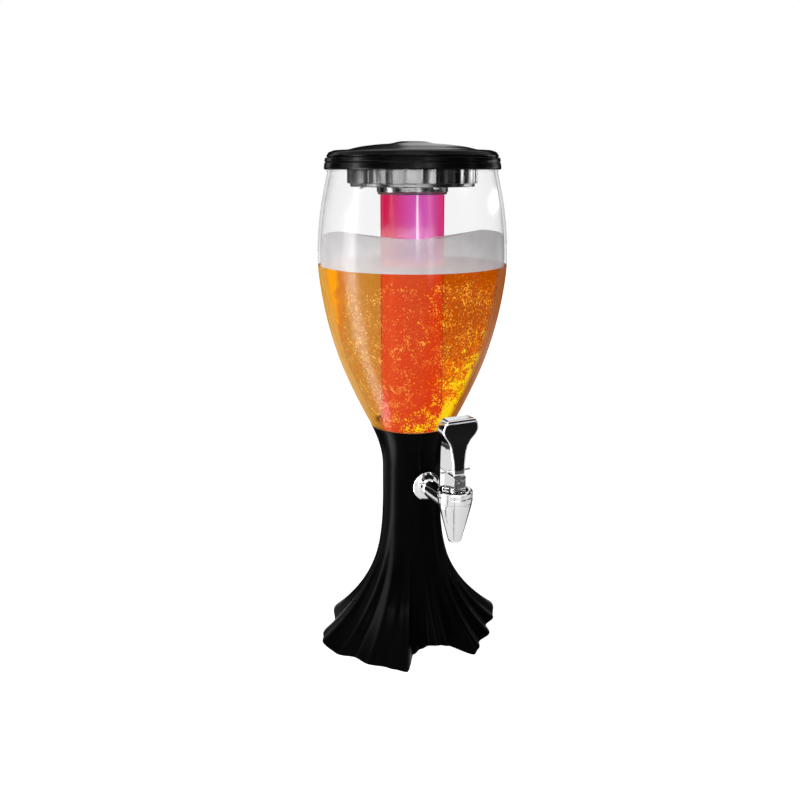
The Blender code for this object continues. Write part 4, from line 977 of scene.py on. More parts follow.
def modify(obj, kind, **settings):
    """Adds a modifier with its settings and applies it."""
    pick(obj)
    modifier = obj.modifiers.new(kind.lower(), kind)
    for key, value in settings.items():
        setattr(modifier, key, value)
    bpy.ops.object.modifier_apply(modifier=modifier.name)


def combine(target, other, operation):
    """Applies a Boolean with another object, which is then removed."""
    modify(target, "BOOLEAN", operation=operation, solver="EXACT", object=other)
    bpy.data.objects.remove(other)


def join(target, other):
    combine(target, other, "UNION")


def cut(target, other):
    combine(target, other, "DIFFERENCE")


def bore(target, radius, bottom, top, facets=SMALL_ROUND, axis=TOWER_AXIS):
    cut(target, disc("bore", radius, bottom, top, facets, axis))


def soften_edges(obj, width, segments=2):
    """A bevel along the sharp edges."""
    modify(obj, "BEVEL", width=width, segments=segments, limit_method="ANGLE", angle_limit=math.radians(SHARP_EDGE),
           use_clamp_overlap=True)


def fit(obj, node, body, finish, smooth=32):
    """Gives a piece its finish and smooth shading, and sets it in the frame in place of its CAD node."""
    pick(obj)
    bpy.ops.object.shade_smooth_by_angle(angle=math.radians(smooth))
    modify(obj, "WEIGHTED_NORMAL", keep_sharp=True)
    slot, maker, *values = FINISHES[finish]
    obj.data.materials.clear()
    obj.data.materials.append(bpy.data.materials.get(finish) or make_material(finish, maker, *values))
    if node:
        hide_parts(node)
    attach(obj, body)


def turned_piece(name, body, finish, outline, facets, axis=TOWER_AXIS, corner=EDGE, corner_steps=3):
    """A piece that is only an outline spun about an axis."""
    fit(revolve(name, outline, facets, axis, corner, corner_steps), name, body, finish)


def add_screw(name, place, radius, length, head_radius, body):
    """A pan-head screw driven upwards, with a cross recess. Its place is its head's bearing face."""
    screw = revolve(name, [
        (0, length), (radius / 2, length), (radius, length - radius), (radius, 0), (head_radius, 0),
        (head_radius, -SCREW_HEAD_HEIGHT * 0.4, 2 * EDGE), (head_radius * 0.55, -SCREW_HEAD_HEIGHT),
        (0, -SCREW_HEAD_HEIGHT),
    ], SMALL_ROUND, axis_at(place), THIN_EDGE)
    x, y, z = place
    reach, width = head_radius * 0.5, head_radius * 0.13
    low, high = z - SCREW_HEAD_HEIGHT - 0.001, z - SCREW_HEAD_HEIGHT * 0.45
    for half_x, half_y in ((reach, width), (width, reach)):
        cut(screw, block("recess", (x - half_x, y - half_y, low), (x + half_x, y + half_y, high)))
    fit(screw, name, body, "screw_steel")


# Base

def hem_share(angle):
    """The hem's radius as a share, easing from each fold's crest to the next valley."""
    angle = (angle + 180) % 360 - 180
    for (start, low), (end, high) in zip(HEM_SHARES, HEM_SHARES[1:]):
        if angle <= end:
            t = (angle - start) / (end - start)
            return low + (high - low) * t * t * (3 - 2 * t)
    return HEM_SHARES[-1][1]


def shell_radius(angle, height):
    """Outside of the base shell: folds that fade into a round waist, then the cup."""
    sizes = bpy.context.scene.tower_sizes
    if height > CUP_START:
        rise = (height - CUP_START) / CUP_HEIGHT
        return sizes.waist_radius + (sizes.rim_radius - sizes.waist_radius) * rise**CUP_CURVE
    flare = max(0, 1 - height / FLARE_HEIGHT) ** FLARE_CURVE
    return sizes.waist_radius + (sizes.hem_radius * hem_share(angle) - sizes.waist_radius) * flare


def lining_radius(angle, height):
    """Inside of the base shell: everywhere one wall away from the outside at the same height."""
    widest = math.degrees(BASE_WALL / bpy.context.scene.tower_sizes.waist_radius)
    nearest = shell_radius(angle, height) - BASE_WALL
    for step in range(-LINING_SAMPLES, LINING_SAMPLES + 1):
        turn = widest * step / LINING_SAMPLES
        radius = shell_radius(angle + turn, height)
        aside = radius * math.sin(math.radians(turn))
        if abs(aside) < BASE_WALL:
            reach = math.sqrt(BASE_WALL**2 - aside**2)
            nearest = min(nearest, radius * math.cos(math.radians(turn)) - reach)
    return nearest


class TOWER_OT_base(bpy.types.Operator):
    """Adds the draped base with its ledge and the pad for the tap"""

    bl_idname = "tower.base"
    bl_label = "Base"

    def execute(self, context):
        outside = [BASE_HEIGHT - HEM_EDGE * share for share in (0.0, 0.3, 1.0)]
        outside += [CUP_START + CUP_HEIGHT * share for share in spread(0.95, 0.0, 18)]
        outside += [FLARE_HEIGHT * share for share in (*spread(0.98, 0.04, 44), 0.028, 0.018)]
        outside += [HEM_EDGE, HEM_EDGE * 0.4, 0.0]
        inside = [0.0] + [FLARE_HEIGHT * share for share in spread(0.02, 0.96, 26)]
        inside += [CUP_START + CUP_HEIGHT * share for share in spread(0.05, 0.97, 10)] + [BASE_HEIGHT]
        last = len(outside) - 1
        tucks = {0: 0.7, 1: 0.25, last - 1: 0.25, last: 0.7}

        def row(radius_at, height, tuck=0.0):
            angles = [360 * i / SHELL_FACETS for i in range(SHELL_FACETS)]
            return [around(angle, radius_at(angle, height) - tuck * HEM_EDGE, height) for angle in angles]

        rows = [row(shell_radius, height, tucks.get(i, 0.0)) for i, height in enumerate(outside)]
        rows += [row(lining_radius, height) for height in inside]
        shell = loft("base_shell", rows, closed=True)
        ledge = revolve("ledge", ring_outline(
            WINDOW_RADIUS, CAVITY_RADIUS + BASE_WALL / 2, LEDGE_BOTTOM, LEDGE_TOP,
        ), LARGE_ROUND)
        for _, place in numbered(3, HOUSING_SCREW_CIRCLE, start=60):
            bore(ledge, HOUSING_SCREW_RADIUS + GAP, LEDGE_BOTTOM - OVERRUN, LEDGE_TOP + OVERRUN, TINY_ROUND,
                 axis_at(place))
        pad = disc("pad", PAD_RADIUS, TAP_BOSS_FACE, PAD_FACE, MIDDLE_ROUND, ARM_AXIS, 2 * EDGE)
        pad_reach = PAD_RADIUS + OVERRUN
        bore(pad, CAVITY_RADIUS + BASE_WALL / 2, TAP_HEIGHT - pad_reach, TAP_HEIGHT + pad_reach, LARGE_ROUND)
        join(shell, ledge)
        join(shell, pad)
        bore(shell, SHANK_RADIUS + GAP, 0, PAD_FACE + OVERRUN, axis=ARM_AXIS)
        fit(shell, "base_shell", "tower", "base_black")
        return {"FINISHED"}


# Vessel and its contents

def bowl_radius(height):
    share = (height - BOWL_BOTTOM) / BOWL_HEIGHT
    return bpy.context.scene.tower_sizes.bowl_radius * smooth_at(BOWL_SHARES, share)


def bowl_points(top, bottom, steps):
    return [(bowl_radius(height), height) for height in spread(top, bottom, steps)]


def bowl_lining(height):
    """Inside radius, one wall square to the outside."""
    step = BOWL_HEIGHT / 1000
    above = min(height + step, MOUTH_TOP)
    below = max(height - step, BOWL_BOTTOM)
    slope = (bowl_radius(above) - bowl_radius(below)) / (above - below)
    return bowl_radius(height) - VESSEL_WALL * math.hypot(1, slope)


def neck_outside(height):
    return shell_radius(0, height) - BASE_WALL - GAP


def lining_outline(top, inset=0.0):
    """The vessel's inside from a height down to the middle of its floor."""
    floor = NECK_BOTTOM + VESSEL_WALL + inset
    outline = [(bowl_lining(height) - inset, height) for height in spread(top, BOWL_BOTTOM + THROAT_HALF, 44)]
    for height in spread(BOWL_BOTTOM - THROAT_HALF, CUP_START, 12):
        outline.append((neck_outside(height) - VESSEL_WALL - inset, height))
    radius = NECK_RADIUS - VESSEL_WALL - inset
    outline += [(radius, floor + NECK_CHAMFER), (radius - NECK_CHAMFER * 0.3, floor + NECK_CHAMFER * 0.3)]
    return outline + [(radius - NECK_CHAMFER, floor), (0, floor)]


class TOWER_OT_vessel(bpy.types.Operator):
    """Adds the clear bowl with its funnel, its closed neck and the tap's boss"""

    bl_idname = "tower.vessel"
    bl_label = "Vessel"

    def execute(self, context):
        bead = LID_BOTTOM - GAP - BEAD_HEIGHT / 2
        mouth = bowl_radius(MOUTH_TOP)
        outer = [(mouth - inset, MOUTH_TOP - drop) for inset, drop in MOUTH_EDGE]
        outer += bowl_points(MOUTH_TOP - 0.0009, bead + BEAD_HEIGHT / 2, 4)
        for angle in (60, 30, 0, -30, -60):
            outer.append((
                bowl_radius(bead) + BEAD_RADIUS * math.cos(math.radians(angle)),
                bead + BEAD_HEIGHT / 2 * math.sin(math.radians(angle)),
            ))
        outer += bowl_points(bead - BEAD_HEIGHT / 2, BOWL_BOTTOM, 70)
        neck = [(neck_outside(BASE_HEIGHT), BOWL_BOTTOM)]
        neck += [(neck_outside(height), height) for height in spread(BASE_HEIGHT - 0.001, CUP_START, 18)]
        neck += [
            (NECK_RADIUS, NECK_BOTTOM + NECK_CHAMFER), (NECK_RADIUS - NECK_CHAMFER * 0.3, NECK_BOTTOM + 0.0006),
            (NECK_RADIUS - NECK_CHAMFER, NECK_BOTTOM), (0, NECK_BOTTOM),
        ]
        inner = lining_outline(MOUTH_TOP - 0.0006)
        vessel = revolve("vessel", [*reversed(inner), *outer, *neck], LARGE_ROUND)
        boss = disc("boss", TAP_BOSS_RADIUS, TAP_BOSS_FACE, NECK_RADIUS + OVERRUN, MIDDLE_ROUND, ARM_AXIS, SOFT_EDGE)
        core = disc("core", NECK_RADIUS - VESSEL_WALL / 2, TAP_HEIGHT - PAD_RADIUS, TAP_HEIGHT + PAD_RADIUS,
                    LARGE_ROUND)
        combine(boss, core, "INTERSECT")
        join(vessel, boss)
        bore(vessel, SHANK_RADIUS + GAP, 0, NECK_RADIUS + OVERRUN, axis=ARM_AXIS)
        fit(vessel, "vessel", "tower", "bowl_clear")
        return {"FINISHED"}


def foam_swell(angle, share):
    """Height of the foam as a share of its crest: it banks up in front and to both sides of the tap."""
    first = FOAM_SHARES[0][0]
    rim = smooth_at(FOAM_SHARES, (angle - first) % 360 + first)
    return FOAM_MIDDLE_SHARE + (rim - FOAM_MIDDLE_SHARE) * share**1.3


class TOWER_OT_drink(bpy.types.Operator):
    """Adds the drink up to its line, and the foam on it"""

    bl_idname = "tower.drink"
    bl_label = "Drink and foam"

    def execute(self, context):
        sizes = context.scene.tower_sizes
        line = sizes.drink_line
        drink = revolve("beer", [(0, line), *lining_outline(line, DRINK_INSET)], LARGE_ROUND)
        fit(drink, None, "tower", "lit_beer")
        drink.visible_glossy = False
        bottom = line + DRINK_INSET
        angles = [360 * i / FOAM_FACETS for i in range(FOAM_FACETS)]

        def crest(angle, share=1.0):
            return bottom + sizes.foam_depth * foam_swell(angle, share)

        rows = [
            [around(angle, bowl_lining(bottom) * share, bottom) for angle in angles]
            for share in spread(0.02, 0.97, 6)
        ]
        for share in spread(0.0, 1.0, 10):
            heights = [bottom + (crest(angle) - bottom) * share for angle in angles]
            rows.append([
                around(angle, bowl_lining(height) - DRINK_INSET, height) for angle, height in zip(angles, heights)
            ])
        for share in spread(0.97, 0.02, 14):
            heights = [crest(angle, share) for angle in angles]
            rows.append([
                around(angle, (bowl_lining(height) - DRINK_INSET) * share, height)
                for angle, height in zip(angles, heights)
            ])
        fit(loft("beer_foam", rows), None, "tower", "beer_foam", smooth=60)
        return {"FINISHED"}


# Lid, holder, cap and tube

def dome_points(first, last, steps, drop=0.0):
    """Points of the dome between two shares of the flat rim's radius, or the points below them by drop."""
    points = []
    for share in spread(first, last, steps):
        rise = min(1.0, max(0.0, smooth_at(DOME_SHARES, share)))
        points.append((LID_TOP_RADIUS * share, LID_RIM_TOP + LID_DOME_HEIGHT * rise - drop))
    return points


class TOWER_OT_lid(bpy.types.Operator):
    """Adds the domed lid with its grooved skirt, its screw bosses and its seal"""

    bl_idname = "tower.lid"
    bl_label = "Lid"

    def execute(self, context):
        radius = context.scene.tower_sizes.lid_radius
        band = (LID_SKIRT - GROOVE_WIDTH) / 3
        shoulder = LID_BOTTOM + LID_SKIRT
        groove = shoulder - GROOVE_WIDTH
        middle_radius = radius - LID_BAND_STEP
        upper_radius = middle_radius - LID_BAND_STEP
        outer = dome_points(0.0, 1.0, 44)
        skirt = [
            outer[-1],
            ((LID_TOP_RADIUS + upper_radius) / 2 + LID_BAND_STEP, LID_RIM_TOP - LID_SHOULDER / 3, WIDE_EDGE),
            (upper_radius, shoulder, BAND_EDGE),
            (upper_radius, shoulder - GROOVE_WIDTH / 2),
            (upper_radius - GROOVE_DEPTH, groove),
            (middle_radius, groove - GROOVE_DEPTH / 2, 2 * EDGE),
            (middle_radius + LID_BAND_STEP / 2, groove - band, 2 * EDGE),
            (middle_radius - GROOVE_DEPTH / 2, groove - band - GROOVE_WIDTH / 2),
            (radius - LID_BAND_STEP / 2, groove - band - GROOVE_WIDTH, 2 * EDGE),
            (radius, LID_BOTTOM + GROOVE_WIDTH),
            (radius - LID_BAND_STEP / 2, LID_BOTTOM, EDGE),
            (bowl_radius(LID_BOTTOM) + RUNNING_GAP, LID_BOTTOM),
        ]
        inner = [
            (bowl_radius(LID_BOTTOM) + RUNNING_GAP, LID_BOTTOM + GROOVE_WIDTH),
            (bowl_radius(MOUTH_TOP) + RUNNING_GAP, MOUTH_TOP),
            (bowl_radius(MOUTH_TOP) + RUNNING_GAP, LID_CEILING),
            (HOLDER_RADIUS + 2 * RUNNING_GAP, LID_CEILING),
            *dome_points(0.86, 0.0, 30, LID_WALL),
        ]
        cover = revolve("lid_cover", outer[:-1] + rounded(skirt, SOFT_EDGE, closed=False) + inner, LARGE_ROUND)
        core = [*dome_points(0.0, 1.0, 30, LID_WALL / 2), (LID_TOP_RADIUS, HOLDER_BOTTOM), (0, HOLDER_BOTTOM)]
        for _, place in numbered(3, SCREW_CIRCLE):
            boss = disc("boss", BOSS_RADIUS, HOLDER_FLOOR + GAP, LID_RIM_TOP + LID_DOME_HEIGHT, SMALL_ROUND,
                        axis_at(place), SOFT_EDGE)
            combine(boss, revolve("core", core, LARGE_ROUND), "INTERSECT")
            bore(boss, SCREW_RADIUS + GAP, HOLDER_FLOOR - OVERRUN, HOLDER_BOTTOM + SCREW_LENGTH + GAP, TINY_ROUND,
                 axis_at(place))
            join(cover, boss)
        fit(cover, "lid_cover", "lid", "lid_black")
        turned_piece("lid_seal", "lid", "soft_rubber", ring_outline(
            bowl_lining(MOUTH_TOP), bowl_radius(MOUTH_TOP), MOUTH_TOP + GAP, LID_CEILING - GAP,
        ), LARGE_ROUND, corner=SOFT_EDGE)
        return {"FINISHED"}


class TOWER_OT_holder(bpy.types.Operator):
    """Adds the ribbed ring under the lid and the three screws that hold it"""

    bl_idname = "tower.holder"
    bl_label = "Tube holder"

    def execute(self, context):
        steps = 12 * RIB_COUNT
        foot_radius = HOLDER_RADIUS - HOLDER_FOOT_STEP
        inside = HOLDER_RADIUS - RIB_DEPTH - HOLDER_WALL
        hole = CAP_RADIUS + GAP

        def circle(radius, height, valley=0.0):
            row = []
            for i in range(steps):
                turn = math.tau * i / steps
                reach = radius - valley * (0.5 - 0.5 * math.cos(turn * RIB_COUNT)) ** 0.6
                row.append((reach * math.cos(turn), AXIS_Y + reach * math.sin(turn), height))
            return row

        holder = loft("tube_holder", [
            circle(HOLDER_RADIUS - SOFT_EDGE, HOLDER_TOP, RIB_DEPTH),
            circle(HOLDER_RADIUS, HOLDER_TOP - SOFT_EDGE, RIB_DEPTH),
            circle(HOLDER_RADIUS, HOLDER_FLOOR + SOFT_EDGE, RIB_DEPTH),
            circle(HOLDER_RADIUS - SOFT_EDGE, HOLDER_FLOOR, RIB_DEPTH),
            circle(foot_radius, HOLDER_FLOOR),
            circle(foot_radius, HOLDER_BOTTOM + SOFT_EDGE),
            circle(foot_radius - SOFT_EDGE, HOLDER_BOTTOM),
            circle(hole, HOLDER_BOTTOM),
            circle(hole, HOLDER_FLOOR),
            circle(inside, HOLDER_FLOOR),
            circle(inside, HOLDER_TOP),
        ], closed=True)
        for number, place in numbered(3, SCREW_CIRCLE):
            bore(holder, SCREW_RADIUS + GAP, HOLDER_BOTTOM - OVERRUN, HOLDER_FLOOR + OVERRUN / 2, TINY_ROUND,
                 axis_at(place))
            add_screw(f"holder_screw_{number}", (*place[:2], HOLDER_BOTTOM - GAP), SCREW_RADIUS, SCREW_LENGTH,
                      SCREW_HEAD_RADIUS, "lid")
        fit(holder, "tube_holder", "lid", "holder_black")
        return {"FINISHED"}


def ring_sector(name, inner, outer, bottom, top, start, end):
    """A piece of a ring between two angles, as a cutter or a lug."""
    rows = []
    for angle in spread(start, end, max(4, round((end - start) / 3))):
        x, y = math.cos(math.radians(angle)), math.sin(math.radians(angle))
        corners = ((inner, bottom), (outer, bottom), (outer, top), (inner, top))
        rows.append([(radius * x, AXIS_Y + radius * y, height) for radius, height in corners])
    return loft(name, rows)


class TOWER_OT_cap(bpy.types.Operator):
    """Adds the collar that grips the ice tube, with its bayonet slots"""

    bl_idname = "tower.cap"
    bl_label = "Tube cap"

    def execute(self, context):
        tube_radius = context.scene.tower_sizes.tube_radius
        flange_bottom = HOLDER_FLOOR + GAP
        flange_top = flange_bottom + CAP_FLANGE_THICKNESS
        cap = revolve("tube_cap", [
            (CAP_RADIUS, CAP_TOP), (CAP_RADIUS, flange_top), (CAP_RADIUS + CAP_FLANGE_WIDTH, flange_top),
            (CAP_RADIUS + CAP_FLANGE_WIDTH, flange_bottom), (CAP_RADIUS, flange_bottom),
            (CAP_RADIUS, CAP_BOTTOM, 2 * SOFT_EDGE), (CAP_BORE, CAP_BOTTOM), (CAP_BORE, CAP_TOP),
        ], LARGE_ROUND, corner=EDGE)
        pocket_top = CAP_TOP - LUG_DROP + GAP
        pocket_bottom = pocket_top - LUG_HEIGHT - 2 * GAP
        depth = tube_radius + LUG_DEPTH + RUNNING_GAP
        inside = tube_radius - LUG_DEPTH
        half = LUG_ANGLE / 2 + math.degrees(RUNNING_GAP / tube_radius)
        for middle in LUG_PLACES:
            turned = middle + LUG_TURN
            cut(cap, ring_sector("pocket", inside, depth, pocket_bottom, pocket_top, middle - half, turned + half))
            cut(cap, ring_sector("slot", inside, depth, CAP_BOTTOM - OVERRUN, (pocket_bottom + pocket_top) / 2,
                                 turned - half, turned + half))
        fit(cap, "tube_cap", "lid", "cap_black")
        return {"FINISHED"}


class TOWER_OT_tube(bpy.types.Operator):
    """Adds the lit ice tube with its lugs and its seal"""

    bl_idname = "tower.tube"
    bl_label = "Ice tube"

    def execute(self, context):
        radius = context.scene.tower_sizes.tube_radius
        centre = radius - TUBE_BOTTOM_RADIUS
        outer = [(radius - inset, CAP_TOP - drop) for inset, drop in TUBE_EDGE]
        inner = [(radius - TUBE_WALL + 0.0005, CAP_TOP), (radius - TUBE_WALL, CAP_TOP - 0.0006)]
        outer += [(radius, height) for height in spread(CAP_TOP - 0.01, TUBE_BOTTOM + 0.02, 8)]
        small = TUBE_BOTTOM_RADIUS - TUBE_WALL
        for angle in spread(0, 90, 8):
            across, down = math.cos(math.radians(angle)), math.sin(math.radians(angle))
            outer.append((centre + TUBE_BOTTOM_RADIUS * across, TUBE_BOTTOM + TUBE_BOTTOM_RADIUS * (1 - down)))
            inner.append((centre + small * across, TUBE_BOTTOM + TUBE_WALL + small * (1 - down)))
        outline = [(0, TUBE_BOTTOM + TUBE_WALL), *reversed(inner), *outer, (0, TUBE_BOTTOM)]
        tube = revolve("ice_tube", outline, LARGE_ROUND)
        lug_top = CAP_TOP - LUG_DROP
        for middle in LUG_PLACES:
            join(tube, ring_sector("lug", radius - TUBE_WALL / 2, radius + LUG_DEPTH, lug_top - LUG_HEIGHT, lug_top,
                                   middle - LUG_ANGLE / 2, middle + LUG_ANGLE / 2))
        fit(tube, "ice_tube", "tube", "tube_light")
        tube.visible_glossy = False
        turned_piece("tube_seal", "tube", "soft_rubber", ring_outline(
            radius + GAP / 2, radius + SEAL_WIDTH, CAP_BOTTOM - GAP - SEAL_HEIGHT, CAP_BOTTOM - GAP,
        ), LARGE_ROUND, corner=SOFT_EDGE)
        return {"FINISHED"}


# Tap

class TOWER_OT_tap_fixings(bpy.types.Operator):
    """Adds the rose, washer, gasket and nut that clamp the tap"""

    bl_idname = "tower.tap_fixings"
    bl_label = "Tap fixings"

    def execute(self, context):
        hole = SHANK_RADIUS + GAP
        front = ROSE_BACK + ROSE_THICKNESS
        nut_front = NUT_FACE + NUT_THICKNESS
        turned_piece("tap_flange", "tower", "tap_chrome", [
            (hole, front), (ARM_RADIUS, front), (ROSE_RADIUS * 0.84, ROSE_BACK + ROSE_THICKNESS * 0.7, WIDE_EDGE),
            (ROSE_RADIUS, ROSE_BACK + ROSE_EDGE, ROSE_RIM_EDGE), (ROSE_RADIUS, ROSE_BACK), (hole, ROSE_BACK),
        ], MIDDLE_ROUND, ARM_AXIS, corner_steps=5)
        turned_piece("tap_washer", "tower", "soft_rubber", ring_outline(
            hole, ROSE_RADIUS - WASHER_INSET, PAD_FACE + GAP, PAD_FACE + GAP + WASHER_THICKNESS,
        ), MIDDLE_ROUND, ARM_AXIS)
        turned_piece("tap_gasket", "tower", "seal_silicone", ring_outline(
            hole, GASKET_RADIUS, TAP_BOSS_FACE - GAP - GASKET_THICKNESS, TAP_BOSS_FACE - GAP,
        ), MIDDLE_ROUND, ARM_AXIS)
        nut = disc("tap_nut", NUT_RADIUS, NUT_FACE, nut_front, 6, ARM_AXIS)
        crown = disc("crown", NUT_RADIUS + GAP, NUT_FACE - GAP, nut_front + GAP, MIDDLE_ROUND, ARM_AXIS, 4 * SOFT_EDGE)
        combine(nut, crown, "INTERSECT")
        bore(nut, hole, NUT_FACE - OVERRUN, TAP_BOSS_FACE, axis=ARM_AXIS)
        fit(nut, "tap_nut", "tower", "screw_steel")
        return {"FINISHED"}


class TOWER_OT_tap_body(bpy.types.Operator):
    """Adds the chrome arm with the conical spout and its bores"""

    bl_idname = "tower.tap_body"
    bl_label = "Tap body"

    def execute(self, context):
        length = SPOUT_TOP - SPOUT_BOTTOM
        swell = SPOUT_TOP_RADIUS - SPOUT_TIP_RADIUS
        cone = [
            (SPOUT_TIP_RADIUS + swell * smooth_at(SPOUT_SHARES, 1 - share), SPOUT_TOP - length * share)
            for share in spread(0.05, 0.98, 16)
        ]
        body = revolve("tap_body", [
            (0, SPIGOT_TOP), (SPIGOT_RADIUS, SPIGOT_TOP), (SPIGOT_RADIUS, SPOUT_TOP),
            (SPOUT_TOP_RADIUS - SOFT_EDGE, SPOUT_TOP), (SPOUT_TOP_RADIUS, SPOUT_TOP - SOFT_EDGE), *cone,
            (SPOUT_TIP_RADIUS - SOFT_EDGE, SPOUT_BOTTOM), (0, SPOUT_BOTTOM),
        ], MIDDLE_ROUND, SPOUT_AXIS)
        arm = revolve("arm", [
            (0, TAP_REACH), (ARM_RADIUS + ARM_SWELL, TAP_REACH), (ARM_RADIUS, ARM_START + ROSE_THICKNESS, ARM_EDGE),
            (ARM_RADIUS, ARM_START), (SHANK_RADIUS, ARM_START), (SHANK_RADIUS, SHANK_END), (0, SHANK_END),
        ], MIDDLE_ROUND, ARM_AXIS, SOFT_EDGE)
        bore(arm, COLLAR_RADIUS + GAP, SPOUT_TOP - GAP, COLLAR_TOP + OVERRUN, MIDDLE_ROUND, SPOUT_AXIS)
        join(body, arm)
        cut(body, revolve("chamber", [
            (0, SPIGOT_TOP + OVERRUN), (CHAMBER_RADIUS, SPIGOT_TOP + OVERRUN),
            (CHAMBER_RADIUS, CHAMBER_FLOOR + FLOW_BORE), (SEAT_CUP_FOOT + GAP, CHAMBER_FLOOR),
            (SPOUT_BORE, CHAMBER_FLOOR), (SPOUT_BORE, SPOUT_BOTTOM - OVERRUN), (0, SPOUT_BOTTOM - OVERRUN),
        ], MIDDLE_ROUND, SPOUT_AXIS))
        bore(body, FLOW_BORE, SHANK_END - OVERRUN, TAP_REACH - CHAMBER_RADIUS / 2, axis=ARM_AXIS)
        soften_edges(body, EDGE)
        fit(body, "tap_body", "tower", "tap_chrome")
        return {"FINISHED"}


class TOWER_OT_bonnet(bpy.types.Operator):
    """Adds the ring nut and the turret that it holds down"""

    bl_idname = "tower.bonnet"
    bl_label = "Ring nut and turret"

    def execute(self, context):
        middle = (COLLAR_BOTTOM + COLLAR_TOP) / 2
        inside = COLLAR_RADIUS - COLLAR_WALL
        opening = SPIGOT_RADIUS - COLLAR_LIP_WIDTH
        above = TURRET_TOP + OVERRUN
        turned_piece("collar_nut", "tower", "tap_chrome", [
            (COLLAR_RADIUS - COLLAR_LIP_WIDTH, COLLAR_TOP), (COLLAR_RADIUS, COLLAR_TOP - COLLAR_LIP_WIDTH),
            (COLLAR_RADIUS, middle + GROOVE_WIDTH / 2), (COLLAR_RADIUS - GROOVE_DEPTH / 2, middle),
            (COLLAR_RADIUS, middle - GROOVE_WIDTH / 2), (COLLAR_RADIUS, COLLAR_BOTTOM), (inside, COLLAR_BOTTOM),
            (inside, BONNET_TOP + GAP), (opening, BONNET_TOP + GAP), (opening, COLLAR_TOP),
        ], MIDDLE_ROUND, SPOUT_AXIS, SOFT_EDGE)
        bonnet = disc("bonnet", SPIGOT_RADIUS, BONNET_BOTTOM, BONNET_TOP, MIDDLE_ROUND, SPOUT_AXIS, EDGE)
        half = TURRET_WIDTH / 2
        turret = block("turret", (-half, TAP_Y - TURRET_FRONT, BONNET_BOTTOM + TURRET_SEAT),
                       (half, TAP_Y + TURRET_RADIUS + OVERRUN, TURRET_TOP))
        combine(turret, disc("round", TURRET_RADIUS, BONNET_BOTTOM, above, MIDDLE_ROUND, SPOUT_AXIS), "INTERSECT")
        soften_edges(turret, 2 * SOFT_EDGE, 3)
        join(bonnet, turret)
        bore(bonnet, ROD_RADIUS + RUNNING_GAP, BONNET_BOTTOM - OVERRUN, above, axis=SPOUT_AXIS)
        room = HEAD_WIDTH / 2 + RUNNING_GAP
        cut(bonnet, block("room", (-room, TAP_Y - room, HEAD_BOTTOM - 2 * GAP), (room, TAP_Y + room, above)))
        fit(bonnet, "bonnet", "tower", "tap_chrome")
        return {"FINISHED"}


class TOWER_OT_plunger(bpy.types.Operator):
    """Adds the plunger, its seal and the pin that the lever tilts on"""

    bl_idname = "tower.plunger"
    bl_label = "Plunger and pin"

    def execute(self, context):
        grip = ROD_RADIUS + GAP
        height = SEAT_CUP_TOP - SEAT_CUP_BOTTOM
        turned_piece("plunger_seal", "plunger", "seal_silicone", [
            (0, ROD_BOTTOM - GAP), (grip, ROD_BOTTOM - GAP), (grip, SEAT_CUP_TOP), (SEAT_CUP_RADIUS, SEAT_CUP_TOP),
            (SEAT_CUP_RADIUS, SEAT_CUP_TOP - height / 4),
            (SEAT_CUP_RADIUS * 0.8, SEAT_CUP_BOTTOM + height / 3, SEAT_CUP_SWELL),
            (SEAT_CUP_FOOT, SEAT_CUP_BOTTOM), (0, SEAT_CUP_BOTTOM),
        ], SMALL_ROUND, SPOUT_AXIS, SEAT_CUP_EDGE)
        rod = disc("plunger", ROD_RADIUS, ROD_BOTTOM, ROD_TOP, SMALL_ROUND, SPOUT_AXIS, EDGE)
        half = HEAD_WIDTH / 2
        join(rod, block("head", (-half, TAP_Y - half, HEAD_BOTTOM), (half, TAP_Y + half, HEAD_TOP), 2 * EDGE))
        bore(rod, PIN_RADIUS + GAP, -PIN_LENGTH / 2, PIN_LENGTH / 2, TINY_ROUND, PIN_AXIS)
        fit(rod, "plunger", "plunger", "screw_steel")
        turned_piece("lever_pin", "plunger", "screw_steel", disc_outline(PIN_RADIUS, -PIN_LENGTH / 2, PIN_LENGTH / 2),
                     SMALL_ROUND, PIN_AXIS)
        return {"FINISHED"}


def lever_section(share):
    """Half widths in front and behind, and reaches in front of and behind the pin, at a share of the height."""
    scales = (LEVER_WIDTH, LEVER_WIDTH, LEVER_DEPTH, LEVER_DEPTH)
    return [
        scale * smooth_at([(row[0], row[column]) for row in LEVER_SHARES], share)
        for column, scale in enumerate(scales, start=1)
    ]


def lever_row(share, tuck=0.0):
    """The lever's outline at one height, its corners rounded, drawn in by tuck."""
    front_width, rear_width, front, rear = (value - tuck for value in lever_section(share))
    outline = rounded([
        (front_width, -front), (rear_width, rear, 2 * LEVER_CORNER), (-rear_width, rear, 2 * LEVER_CORNER),
        (-front_width, -front),
    ], LEVER_CORNER, closed=True, steps=7)
    return [(x, TAP_Y + y, PIN_HEIGHT + LEVER_HEIGHT * share - LEVER_DROP) for x, y in outline]


def insert_block(name, grow, proud):
    """The black plate in the lever's face, or with grow and proud the pocket that it lies in."""
    bottom, top = INSERT_BOTTOM - grow, INSERT_TOP + grow
    crown = 0 if grow else INSERT_CROWN
    rows = []
    for height in spread(bottom, top, 40):
        front_width, _, front, _ = lever_section((height + LEVER_DROP) / LEVER_HEIGHT)
        corner = max(0, INSERT_CORNER - min(height - bottom, top - height))
        pull = INSERT_CORNER - math.sqrt(max(0, INSERT_CORNER**2 - corner**2))
        half = front_width - INSERT_BORDER + grow - pull
        back = TAP_Y - (front - INSERT_THICKNESS + INSERT_PROUD - grow)
        face = TAP_Y - front - proud
        side = [(half, back), (half, face + crown), (half - crown, face)]
        outline = side + [(-x, y) for x, y in reversed(side)]
        rows.append([(x, y, PIN_HEIGHT + height) for x, y in outline])
    return loft(name, rows)


